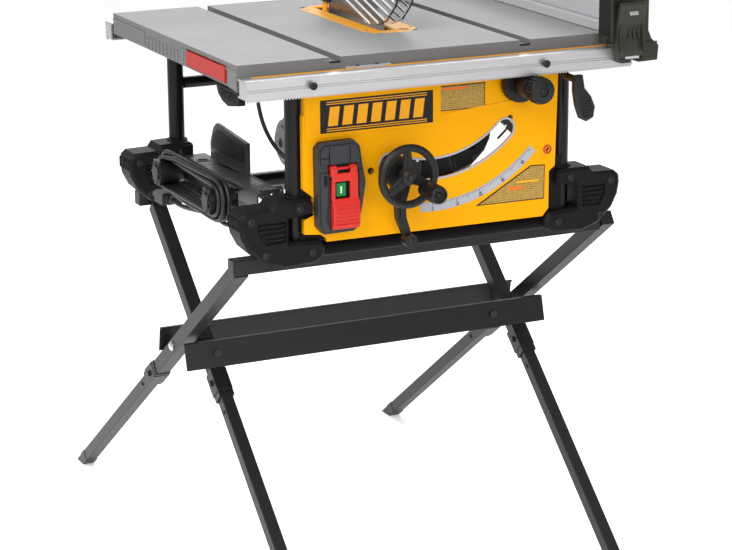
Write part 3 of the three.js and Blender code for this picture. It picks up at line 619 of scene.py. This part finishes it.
# ---------- front panel ----------
AXIS = Vector((350, 0, -12))  # the bevel axis runs front to back through here
SLOT_START, SLOT_END = -24, 44  # degrees from straight down
SLOT_RADIUS = 191
BORDER = (15.5, 18.9)  # radii of the border round the slot's ends
FIGURES_TOP = 260.4  # distance of the scale's figures from the bevel axis
ROW, STROKE = 1.35, 0.75  # the rows of a figure, and the width of its strokes
PRINT = (27.4, 27.7)  # the print on the bevel scale, in front of the panel's face at y 28
AMBER = (562, 0, -192)  # the round amber mark
EYELETS = ((239, -195), (492, -132))
SEGMENTS = {  # the strokes of a figure in a 3 by 5 grid: each u, v at its start and at its end
    "0": "0020 0424 0004 2024", "1": "1014", "2": "0020 0222 0424 0002 2224",
    "3": "0020 0222 0424 2024", "4": "0222 0204 2024", "5": "0020 0222 0424 0204 2022",
}


def add_mark(m, width, inner, outer, depth, angle, shift=0):
    """A bar on a circle about the bevel axis, at an angle from straight down."""
    x, z = AXIS.x + shift, AXIS.z
    m.box((x - width / 2, x + width / 2), depth, (z - outer, z - inner), (0, -angle, 0), AXIS)


def add_bevel_scale():
    m = Model("saw_frame")
    m.prism("y", band(AXIS.x, AXIS.z, 246.5, 262, -5, 46.5, 40), 27.6, 28.1)
    m.done("bevel_scale", "pale_grey", 0)
    for degree in range(0, 46):
        length = 6.2 if degree % 5 == 0 else 3.6
        add_mark(m, 0.7, 247, 247 + length, PRINT, degree)
    for degree in range(0, 46, 10):
        for count, figure in enumerate(str(degree)):
            left = 3.2 * count - 1.6 * len(str(degree)) + 0.5
            for u0, v0, u1, v1 in (map(int, stroke) for stroke in SEGMENTS[figure].split()):
                middle = left + (u0 + u1) / 2
                low = FIGURES_TOP - max(v0, v1) * ROW - STROKE / 2
                high = FIGURES_TOP - v0 * ROW + STROKE / 2
                add_mark(m, abs(u1 - u0) + STROKE, low, high, PRINT, degree, middle)
    m.done("bevel_scale_lines", "print", 0)
    for inner, outer in ((172.2, 175.6), (206.4, 209.8)):
        m.prism("y", band(AXIS.x, AXIS.z, inner, outer, SLOT_START, SLOT_END, 36), 26.9, 28.2)
    start, end = arc(AXIS.x, AXIS.z, SLOT_RADIUS, SLOT_START, SLOT_END, 1)
    m.prism("y", band(*end, *BORDER, SLOT_END, SLOT_END + 180, 16), 26.9, 28.2)
    m.prism("y", band(*start, *BORDER, SLOT_START + 180, SLOT_START + 360, 16), 26.9, 28.2)
    m.done("slot_border", "pale_grey", 0.2)
    m.prism("y", arc(*end, 15, SLOT_END + 10, SLOT_END + 170, 20), 29.5, 33)
    m.prism("y", band(AXIS.x, AXIS.z, 193.2, 196.8, SLOT_END - 6, SLOT_END + 1, 8), 29.6, 32)
    m.done("slot_bracket", "plastic", 0.4)
    for x, z in ((477.9, -141.9), (484.2, -145.0)):
        m.screw((x, 29.5, z), "y", 2.3)
    m.done("slot_screws", "steel", 0.1)
    m = Model("bevel_carriage")
    m.prism("y", band(AXIS.x, AXIS.z, 168, 214, -3, 11.5, 6), 41.6, 43.9)
    m.prism("y", band(AXIS.x, AXIS.z, 177, 205, 14.5, 23.5, 6), 42, 46)
    m.done("tilting_cover", "bumper", 0.5)


def add_labels():
    m = Model("saw_frame")
    m.prism("y", [(125, -54), (364, -54), (364, -131), (228, -131), (214, -134), (125, -134)], 26.6, 28.2)
    m.prism("y", [(366, -114), (575, -96), (575, -99), (366, -117)], 27.2, 28.2)
    m.prism("y", [(366, -54), (478, -54), (478, -62), (366, -62)], 27.4, 28.2)
    m.done("raised_panel", "yellow", 0.7)
    m.box((151, 350), (26.2, 26.8), (-126, -73))
    m.done("panel_label", "print", 0)
    for z in (-76.6, -80, -119.4, -122.8):
        m.box((162, 339), (25.9, 26.3), (z - 0.7, z + 0.7))
    for i in range(7):
        x = 164 + i * 25
        m.prism("y", [(x, -115), (x + 17, -115), (x + 21, -84.4), (x + 4, -84.4)], 25.9, 26.3)
    m.done("label_blocks", "yellow_paint", 0)
    m.box((362, 445), (27.5, 28.1), (-110, -69))
    m.prism("y", [(429, -274), (531, -216), (558, -217), (557, -275)], 27.5, 28.1)
    m.done("caution_border", "print", 0)
    m.box((363.4, 443.6), (27.3, 27.6), (-108.6, -70.4))
    m.prism("y", [(436, -272.6), (531.6, -217.8), (556.6, -218.6), (555.6, -273.4)], 27.3, 27.6)
    m.done("caution_labels", "khaki", 0)
    m.box((505, 545), (27.1, 27.4), (-244, -240.6))
    m.done("caution_strip", "yellow_paint", 0)
    m.box((490, 517), (27.1, 27.4), (-254, -249))
    m.box((366, 412), (27.1, 27.4), (-76, -72.6))
    m.disc("y", AMBER, 8.5, 27.4, 28.1, 28)
    m.done("amber_marks", "amber", 0)
    m.disc("y", AMBER, 6.8, 27.1, 27.5, 28, 5.8)
    m.box((560.5, 563.5), (27.1, 27.5), (-195.5, -188.5), (0, 35, 0))
    m.done("amber_ring", "print", 0)


add_bevel_scale()
add_labels()


# ---------- switch ----------
PADDLE_PIN = (0, 11, -181)


def add_switch():
    m = Model("saw_frame")
    m.prism("y", [(143, -150), (149, -143), (201, -142), (208, -150), (211, -172.8), (143, -172.8)],
            5.6, 10.4)
    m.prism("y", [(209, -184), (216, -186), (219.5, -208), (214, -243), (209, -243)], 6.4, 10.4)
    m.prism("y", [(142, -186), (156, -186), (155, -236), (152, -262), (158, -279), (150, -282), (143, -271)],
            6.4, 10.4)
    m.done("switch_cover", "grey_plastic", 1.4)
    m.box((156, 158), (5, 6), (-175, -144))
    m.box((144, 157), (5, 6), (-162.6, -161))
    m.box((192, 193.6), (5, 6), (-175, -144))
    m.box((148, 152.5), (4.8, 6.6), (-206, -190))
    m.done("cover_ribs", "bumper", 0.3)
    m = Model("switch_paddle")
    m.box((160, 166), (3, 9), (-234, -187))
    m.box((192, 205.6), (3, 9), (-234, -187))
    m.box((160, 205.6), (3.3, 8.7), (-201, -188))
    pad = [(4, -229), (9, -229), (9.4, -240), (9.4, -252), (7, -277), (1, -278), (-2.6, -268), (-3, -246),
           (0, -234)]
    m.prism("x", pad, 160, 206.8)
    for x in ((158.5, 170), (193, 204)):
        m.disc("x", PADDLE_PIN, 6.3, *x, 24)
        m.box(x, (3.2, 10), (-192, -179))
    m.disc("x", PADDLE_PIN, 2.6, 169, 194, 20)
    for z in (-241, -247, -253, -259, -265, -271):
        m.box((163, 204), (-4.2, 0), (z - 1.1, z + 1.1))
    m.done("paddle", "red", 0.8, ["switch_paddle"])
    m = Model("start_button")
    m.box((175.9, 177.9), (5.6, 6.1), (-220, -209))
    m.done("button_mark", "white", 0)
    m = Model("saw_frame")
    m.box((163, 168.3), (9, 10), (-230, -199))
    for (x, z), rim, face in zip(EYELETS, (5.4, 4.6), (27, 27.4)):
        m.disc("y", (x, 0, z), rim, face, 28.1, 20, 3.6)
        m.disc("y", (x, 0, z), 6.5, 31.2, 32.8, 20)
    m.done("panel_eyelets", "plastic", 0.1)


add_switch()


# ---------- wheel, crank and locks ----------
WHEEL = Vector((275.5, -35, -195))
CRANK = WHEEL + Vector((40 * math.cos(math.radians(-38)), 0, 40 * math.sin(math.radians(-38))))


def add_wheel():
    m = Model("height_wheel")
    rim = [(46 + 6.4 * math.cos(a), -35 + 6.4 * math.sin(a)) for a in (math.pi * i / 8 for i in range(16))]
    m.turn("y", (WHEEL.x, 0, WHEEL.z), rim, 56)
    hub = [(0, -45), (9, -45), (13, -42), (15, -36), (15, -28), (12, -22), (7, -22), (7, 149), (12, 149),
           (12, 157.5), (0, 157.5)]
    m.turn("y", (WHEEL.x, 0, WHEEL.z), hub, 28)
    for angle in (215, 95, -25):
        turn = (0, -angle, 0)
        spoke = [(8, -9.5), (30, -7), (45, -6), (45, 6), (30, 7), (8, 9.5)]
        about = (WHEEL.x, -35, WHEEL.z)
        verts = m.prism("y", [(WHEEL.x + u, WHEEL.z + v) for u, v in spoke], -39.5, -35)
        m.turned(verts, turn, about)
        m.box((WHEEL.x + 10, WHEEL.x + 44), (-41.5, -33), (WHEEL.z - 1.6, WHEEL.z + 1.6), turn, about)
    m.turn("y", (CRANK.x, 0, CRANK.z), [(0, -41.5), (11.5, -41.5), (12.5, -39), (12.5, -30), (0, -30)], 28)
    m.disc("y", (CRANK.x, 0, CRANK.z), 5, -79, -41, 20)
    m.done("wheel", "plastic", 0.5, ["height_wheel"])
    m = Model("crank_handle")
    grip = [(5.6, -42.4), (13, -42.4), (14.2, -44), (15.2, -50), (15.5, -64), (15.2, -77), (14, -82.6),
            (12.2, -84), (11, -83.4), (10, -81), (10, -79.4), (5.6, -79.4)]
    m.turn("y", (CRANK.x, 0, CRANK.z), grip, 36)
    m.done("crank_grip", "plastic", 0.3, ["crank_handle"])
    m = Model("height_wheel")
    m.bolt((WHEEL.x, -45, WHEEL.z), "y", 6, 4)
    m.screw((CRANK.x, -79, CRANK.z), "y", 4.4)
    m.done("wheel_bolts", "dark_steel", 0.2)
    m = Model("bevel_lock")
    for i in range(36):
        angle = i * 10
        m.box((WHEEL.x + 23.6, WHEEL.x + 25.2), (-12.4, 14), (WHEEL.z - 1.2, WHEEL.z + 1.2), (0, angle, 0),
              (WHEEL.x, 0, WHEEL.z))
    m.box((273, 280), (-11.8, -9.6), (-268, -214))
    m.done("lock_ribs", "plastic", 0.3)
    m.screw((WHEEL.x + 13, -20, -306), "y", 5)
    m.done("lock_screw", "dark_steel", 0.1)
    m = Model("bevel_carriage")
    m.box((303, 311), (41.9, 43.8), (-176, -171))
    m.done("lock_mark", "red", 0.2)
    m.screw((312, 43.9, -183), "y", 4)
    m.screw((330, 43.9, -190), "y", 3)
    m.done("carriage_screws", "steel", 0.1)


def add_rail_knob():
    x, z = 500, -73
    m = Model("rail_pinion")
    for i in range(24):
        m.box((x + 20, x + 22.4), (-62, -46), (z - 1.0, z + 1.0), (0, i * 15, 0), (x, 0, z))
    for i in range(30):
        m.box((x + 29.4, x + 31), (3, 19), (z - 0.9, z + 0.9), (0, i * 12, 0), (x, 0, z))
    m.turn("y", (x, 0, z), [(9, -69.5), (20.6, -67.2), (21.2, -64.2), (14, -64.2), (9, -66.5)], 36)
    m.done("knob_ribs", "plastic", 0.3)
    m.screw((x, -67, z), "y", 4.6)
    m.done("knob_screw", "dark_steel", 0.1)
    m = Model("rail_lock")
    for i in range(7):
        m.box((593 + i * 0.9, 612 + i * 1.1), (-27, -25.4), (-101 - i * 5, -99.6 - i * 5))
    m.done("rail_lock_grips", "plastic", 0.3)


add_wheel()
add_rail_knob()


# ---------- corner bumpers ----------
FULL_REACH = 119  # of the bumper that the outline was drawn for
PAD_SCREW = -243  # height of the screw on the raised pad
BUMPER_FRONT, BUMPER_BACK = 31, 25  # its faces, before and behind the post's middle


def add_bumper(name, post_x, post_y, side, reach):
    """Screws, ribs in the hollow, a lip round the post and flutes on the end, for one corner."""
    k = reach / FULL_REACH

    def x_at(u):
        return post_x - side * u

    front, back = post_y - BUMPER_FRONT, post_y + BUMPER_BACK
    m = Model("saw_frame")
    for z in (-266, -274, -282, -290):
        ends = sorted((x_at(-80 * k + max(0, -280 - z) * 1.6), x_at(-28)))
        m.box(ends, (front + 1.6, front + 5.2), (z - 1.3, z + 1.3))
    lip = [(14.6, -231), (18.6, -231), (18.6, -226.6), (17.6, -225.4), (14.6, -225.4)]
    m.turn("z", (post_x, post_y, 0), lip, 32)
    for y in range(int(front) + 8, int(back) - 4, 8):
        m.box(sorted((x_at(-(FULL_REACH + 0.8) * k), x_at(-(FULL_REACH - 2) * k))), (y, y + 3.2),
              (-270, -251))
    m.box(sorted((x_at(-12), x_at(18))), (front - 1.4, front + 3), (-251, -233))
    if name.startswith("front"):
        ends = sorted((x_at(4), x_at(46)))
        m.box(ends, (front + 15.8, front + 16.9), (-303, -206))
    m.done(f"{name}_trim", "bumper", 0.8)
    for u, z in ((-97 * k, -256), (-62.8, -313), (17.5, -317), (-4, PAD_SCREW)):
        at = front - 1.4 if z == PAD_SCREW else front
        m.disc("y", (x_at(u), at, z), 6, -1.1, 1, 24, 4.6)
        m.screw((x_at(u), at, z), "y", 4.2)
        m.screw((x_at(u), back, z), "y", 4.2, 1)
    m.done(f"{name}_screws", "dark_steel", 0.1)


add_bumper("front_left", 115.7, 53.8, -1, 107)
add_bumper("front_right", 600.5, 53.8, 1, 101)
add_bumper("rear_left", 102, 535, -1, 101)
add_bumper("rear_right", 614, 535, 1, 101)


# ---------- table, guard and motor ----------
FINGER_HOLE = (372, 179, 0)
PLATE_SCREWS = ((312, 196), (393, 196), (312, 438), (393, 438))


def add_table_trim():
    m = Model("saw_frame")
    for i in range(11):
        y = 232 + i * 17
        m.box((-1.6, 0.6), (y, y + 6), (-34, -15))
    m.prism("x", [(0, -9), (232, -9), (232, -36), (225, -36), (222, -12), (32, -12), (30, -38), (0, -40)],
            -1.2, 0.4)
    m.box((-1.4, 0.4), (402, 559), (-13, -9))
    m.done("skirt_ribs", "skirt", 0.5)
    m.prism("x", [(-2, -42.2), (93, -42.2), (83.5, -56.9), (66.5, -66.2), (43.7, -70.9), (-2, -63)], 2, 13)
    for i in range(7):
        for turn in (-42, 42):
            m.box((1, 2.6), (14 + i * 9, 16 + i * 9), (-62 + max(0, i - 4) * 3, -45), (turn, 0, 0))
    m.done("corner_block", "bumper", 0.6)
    # Dark plates low in the open front ends of the mitre slots: painted shade in the notches.
    for x in (156.0, 493.0):
        m.box((x, x + 19), (-0.3, 0.4), (-9.6, -6))
    m.done("slot_end_painted_shade", "dark_steel", 0.1)
    for x, y in PLATE_SCREWS:
        m.turn("z", (x, y, 0), [(0, -0.3), (3.4, -0.3), (3.4, 0.25), (2, 0.25), (1.6, -0.2), (0, -0.2)], 20)
    m.done("plate_screws", "dark_steel", 0)
    m.turn("z", FINGER_HOLE, [(9, -0.5), (11.4, -0.5), (11.4, 0.5), (9.6, 0.6), (9, 0.2)], 28)
    m.prism("z", [(302.5, 186), (306, 186), (306, 446), (302.5, 446)], -0.4, 0.5)
    m.done("plate_lip", "yellow_paint", 0.2)
    # The dark disc under the finger hole is painted shade seen through the hole; the plate and the thin wall
    # below stand by the blade slot.
    m.disc("z", FINGER_HOLE, 8.4, -3.2, -0.7, 28)
    m.prism("z", [(338, 156), (362, 156), (362, 172), (356, 178), (344, 178), (338, 172)], -8, -6.4)
    m.box((358, 360), (166, 250), (-14, -4))
    m.done("plate_ledges_and_painted_hole_shade", "dark_steel", 0.1)


def chord(outline, level, rise, inset):
    """The stretch inside an outline of the line that rises from so high a level at y 300."""
    def height(y):
        return level + rise * (y - 300)

    hits = []
    for (y0, z0), (y1, z1) in zip(outline, outline[1:] + outline[:1]):
        above, beyond = z0 - height(y0), z1 - height(y1)
        if above * beyond < 0:
            hits.append(y0 + (y1 - y0) * above / (above - beyond))
    ends = (min(hits) + inset, max(hits) - inset)
    return [(y, height(y)) for y in ends]


def add_guard():
    shield = [(240, 3), (204, 6), (166, 19), (132, 48), (114, 85), (122, 112), (250, 126), (436, 114),
              (450, 98), (446, 84), (425, 78), (349, 29)]
    for side, x, out in (("left", 334, -1), ("right", 362, 1)):
        low, high = x, x + 4
        m = Model(f"guard_shield_{side}")
        m.prism("x", shield, low, high)
        m.done(f"{side}_shield", "clear", 0.6, [f"guard_shield_{side}"])
        face = (low - 1.6, low) if out < 0 else (high, high + 1.6)
        for level in range(27, 124, 15):
            (y0, z0), (y1, z1) = chord(shield, level, 0.287, 5)
            m.prism("x", [(y0, z0 - 2), (y1, z1 - 2), (y1, z1 + 2), (y0, z0 + 2)], *face)
        m.done(f"{side}_shield_ribs", "ribbed_clear", 0.5)
    m = Model("blade_lift")
    pawl = [(424, 12), (453, 12), (456, 42), (440, 74), (430, 74)]
    m.prism("x", pawl, 351.8, 355.4)
    m.prism("x", pawl, 344.6, 348.2)
    for y in (432, 445):
        m.bolt((345.4, y, 24), "x", 3.4, 1.6)
    m.done("kickback_pawls", "dark_steel", 0.4)


def add_motor():
    x, y, z = MOTOR = (200, 300, -199)
    m = Model("blade_lift")
    dome = [(0, x - 0.6), (14, x), (26, x + 2.6), (35, x + 7.5), (41.6, x + 14.5), (45.4, x + 24),
            (45.4, x + 29), (0, x + 29)]
    m.turn("x", (0, y, z), dome, 44)
    for along in range(232, 282, 7):
        m.disc("x", (0, y, z), 46, along, along + 3, 44, 44.6)
    m.done("motor_cap", "pale_grey", 0.5)
    for i in range(14):
        m.box((x + 9, x + 21), (y + 35, y + 42), (z - 1.5, z + 1.5), (i * 360 / 14, 0, 0), MOTOR)
    m.disc("x", (0, y, z), 8, x - 1, x, 24)
    m.done("motor_vents", "plastic", 0.1)


add_table_trim()
add_guard()
add_motor()


# ---------- storage at the left, and the stand's fittings ----------
HORNS = (161, 389)  # where the cord turns round the two horns of its holder, front and back
HANK_Z = -248  # the height of the horns
TRAY_FLOOR = -250


def add_storage():
    m = Model("saw_frame")
    m.box((99, 147), (166, 169), (TRAY_FLOOR, -248.8))
    for x in (99.8, 145.2):
        m.box((x - 0.8, x + 0.8), (170, 470), (TRAY_FLOOR, -248.6))
    for x in (107, 115, 123, 131, 139):
        m.box((x - 1.2, x + 1.2), (176, 236), (TRAY_FLOOR, -249))
    m.prism("x", [(170, TRAY_FLOOR), (186, TRAY_FLOOR), (182, -244.6), (173, -244.6)], 112, 142)
    m.done("tray_ribs", "tray", 0.4)
    m.disc("z", (116, 448, 0), 11.6, TRAY_FLOOR - 0.2, -248.8, 28, 9.1)
    m.box((104, 134), (412, 434), (TRAY_FLOOR, -249.6))
    m.done("tray_marks", "dark_steel", 0.2)
    m.prism("x", [(334, -236), (476, -236), (476, -228), (466, -206), (456, -200), (334, -208)],
            144.8, 146.4)
    m.prism("x", [(390, -214), (430, -216), (420, -208), (396, -207)], 143.6, 145)
    m.box((99.6, 101.4), (150, 262), (-306, -275.4))
    m.done("plate_recess", "plastic", 0.6)
    m.screw((123, 160, TRAY_FLOOR), "z", 4, 1)
    m.disc("z", (153, 186, 0), 2.6, -262, -244, 12)
    m.done("storage_screws", "steel", 0.1)
    for y in HORNS:
        m.turn("x", (0, y, HANK_Z), [(0, 4.4), (12, 4.4), (13, 6), (13, 8), (0, 8)], 28)
        for turn in range(0, 180, 45):
            m.box((5.6, 7), (y - 20, y + 20), (HANK_Z - 1.2, HANK_Z + 1.2), (turn, 0, 0), (6, y, HANK_Z))
    m.done("horn_caps", "plastic", 0.4)


def on_leg(start, end, along):
    """A point so many millimetres from a leg's bar, and the leg's slope about X in degrees."""
    (y0, z0), (y1, z1) = start, end
    length = math.hypot(y1 - y0, z1 - z0)
    t = along / length
    return (y0 + (y1 - y0) * t, z0 + (z1 - z0) * t), math.degrees(math.atan2(z1 - z0, y1 - y0))


HALF = 12.7  # half a leg's outer tube
# each leg's left face, body, (y, z) at its bar and at its foot, and how far along its tubes join
LEG_LINES = {
    "leg_a": (32, "stand_front", (98, -346), (947, -952), 545),
    "leg_c": (702, "stand_front", (98, -346), (947, -952), 545),
    "leg_b": (72, "stand_rear", (614, -346), (-69, -952), 430),
    "leg_d": (662, "stand_rear", (614, -346), (-69, -952), 430),
}


def add_stand():
    for name, (x, body, start, end, sleeve) in LEG_LINES.items():
        m = Model(body)
        (y, z), slope = on_leg(start, end, sleeve - 30)
        about = (x + HALF, y, z)
        m.box((x - 2.4, x + 26.8), (y - 22, y + 22), (z - 15, z + 15), (slope, 0, 0), about)
        m.box((x - 1.2, x + 26.6), (y + 20, y + 34), (z - 13.4, z + 13.4), (slope, 0, 0), about)
        total = math.hypot(end[0] - start[0], end[1] - start[1])
        (y, z), slope = on_leg(start, end, total - 30)
        m.box((x + 0.9, x + 24.5), (y - 12, y + 12), (z - 11.7, z + 11.7), (slope, 0, 0), (x + HALF, y, z))
        m.done(f"{name}_collar", "plastic", 1.0)
        (y, z), _ = on_leg(start, end, sleeve - 30)
        m.bolt((x - 2.4, y, z), "x", 5.2, 4.2, -1)
        if name != "leg_c":
            m.bolt((x + 22.6, y, z), "x", 5.2, 8.4, 1)
        (y, z), _ = on_leg(start, end, sleeve + 30)
        m.screw((x + 1.6, y, z), "x", 3.6, -1)
        m.done(f"{name}_bolts", "dark_steel", 0.2)
    pivot = (403, -563.1)
    m = Model("stand_front")
    m.turn("x", (0, *pivot), [(0, 27.4), (5, 27.4), (8.5, 30), (8.5, 32), (0, 32)], 28)
    m.turn("x", (0, *pivot), [(0, 727.4), (8.5, 727.4), (8.5, 728), (5, 728.8), (0, 728.8)], 28)
    m.done("leg_pivots", "steel", 0.2)
    m = Model("stand_rear")
    for x in (86, 624):
        m.bolt((x, 323.5, -562), "y", 5.5, 4, 1)
    m.done("channel_nuts", "dark_steel", 0.2)
    m = Model("saw_frame")
    for x in (199, 519):
        m.bolt((x, 100, -308), "z", 6, 4, 1)
    for x in (203, 523):
        m.bolt((x, 585, -308), "z", 6, 4, 1)
    m.done("clip_bolts", "steel", 0.2)


add_storage()
add_stand()


# ---------- cord ----------
CORD_RADIUS = 4.0
PITCH = 8.6  # between neighbouring turns of the wound cord
LAYERS = (24.6, 33.4)  # radius of the cord's turns round the horns
OVER = (24.5, 30, 34)  # x of the stretches wound over the first layer
LEAD = [  # from the strain relief down to the winding
    (62, 96, -262), (62, 102, -262.5), (57, 114, -271), (49, 132, -284), (45, 156, -291), (43, 184, -291.7),
    (44.5, 215, -286), (46, 250, -276), (46, 290, -272.6)]


def cord_route():
    """One layer wound on the horns, a second over it, and the short end with the plug."""
    front, back = HORNS
    inner, outer = LAYERS

    def bend(y, radius, x, toward):
        angles = [math.pi * i / 8 for i in range(9)]
        return [(x, y + toward * radius * math.sin(a),
                 HANK_Z - toward * radius * math.cos(a)) for a in angles]

    def straight(a, b, steps=5, climb=1.0):
        points = []
        for i in range(1, steps):
            t = i / steps
            rise = min(1, t / climb)
            lift = rise * rise * (3 - 2 * rise) if climb < 1 else t
            points.append((a[0] + (b[0] - a[0]) * t, a[1] + (b[1] - a[1]) * t, a[2] + (b[2] - a[2]) * lift))
        return points

    columns = [46 - PITCH * i for i in range(4)]
    points = list(LEAD)
    for i, x in enumerate(columns):
        if i > 0:
            points += bend(front, inner, x, -1)
            points += straight((x, front, HANK_Z - inner), (x, back, HANK_Z - inner))
        points += bend(back, inner, x, 1)
        if i < 3:
            points += straight((x, back, HANK_Z + inner), (columns[i + 1], front, HANK_Z + inner))
    points += straight((columns[3], back, HANK_Z + inner), (OVER[0], front, HANK_Z + outer), 8, 0.25)
    points += bend(front, outer, OVER[0], -1)
    points += [(x, y, HANK_Z - outer) for x, y in ((OVER[0], 230), (OVER[0], 300), (27.2, 345))]
    points += bend(back, outer, OVER[1], 1)
    points += straight((OVER[1], back, HANK_Z + outer), (OVER[2], front, HANK_Z + outer))
    points += bend(front, outer, OVER[2], -1)
    low = HANK_Z - outer
    return points + [(33.6, 225, low - 3), (32.6, 285, low - 11), (32, 335, -297.5), (32, 372, -297.5)]


def add_curve(name, points, radius):
    data = bpy.data.curves.new(name, "CURVE")
    data.dimensions = "3D"
    data.bevel_depth = radius / 1000
    data.bevel_resolution = 3
    data.resolution_u = 5
    data.use_fill_caps = True
    spline = data.splines.new("BEZIER")
    spline.bezier_points.add(len(points) - 1)
    for knot, point in zip(spline.bezier_points, points):
        knot.co = place(*point)
        knot.handle_left_type = knot.handle_right_type = "AUTO"
    data.materials.append(LOOK["rubber"])
    return add_object(name, data)


def add_cord():
    cord = add_curve("mains_cord", cord_route(), CORD_RADIUS)
    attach(cord, "saw_frame")
    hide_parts("cord_hank", "cord_lead")


add_cord()


# ---------- floor and light ----------
def add_floor():
    bpy.ops.mesh.primitive_plane_add(size=14)
    floor = bpy.context.object
    floor.name = "floor"
    s = Shading("pale_floor")
    s.look({"Base Color": s.mix(s.noise(s.place, 3, 3), (0.93, 0.93, 0.93, 1), (0.96, 0.96, 0.96, 1)),
            "Roughness": 0.9, "Specular IOR Level": 0.1,
            "Emission Color": (1, 1, 1, 1), "Emission Strength": 0.36})
    floor.data.materials.append(s.material)


def add_light(name, at, aim, size, power):
    data = bpy.data.lights.new(name, "AREA")
    data.shape = "RECTANGLE"
    data.size, data.size_y = size
    data.energy = power
    light = add_object(name, data)
    light.location = at
    light.rotation_mode = "QUATERNION"
    light.rotation_quaternion = (Vector(aim) - Vector(at)).to_track_quat("-Z", "Y")


def add_world():
    world = bpy.data.worlds.new("studio")
    world.use_nodes = True
    world.node_tree.nodes["Background"].inputs["Color"].default_value = (1, 1, 1, 1)
    world.node_tree.nodes["Background"].inputs["Strength"].default_value = 0.62
    bpy.context.scene.world = world


add_floor()
add_world()
add_light("key", (-2.2, -1.6, 3.0), (0, 0, 0.75), (1.8, 1.8), 95)
add_light("front", (-0.6, -3.6, 1.7), (0, 0, 0.75), (1.6, 1.6), 42)
add_light("back", (0.8, 2.4, 2.8), (0, 0, 0.9), (2.4, 1.4), 70)
bpy.context.scene.view_settings.view_transform = "Standard"
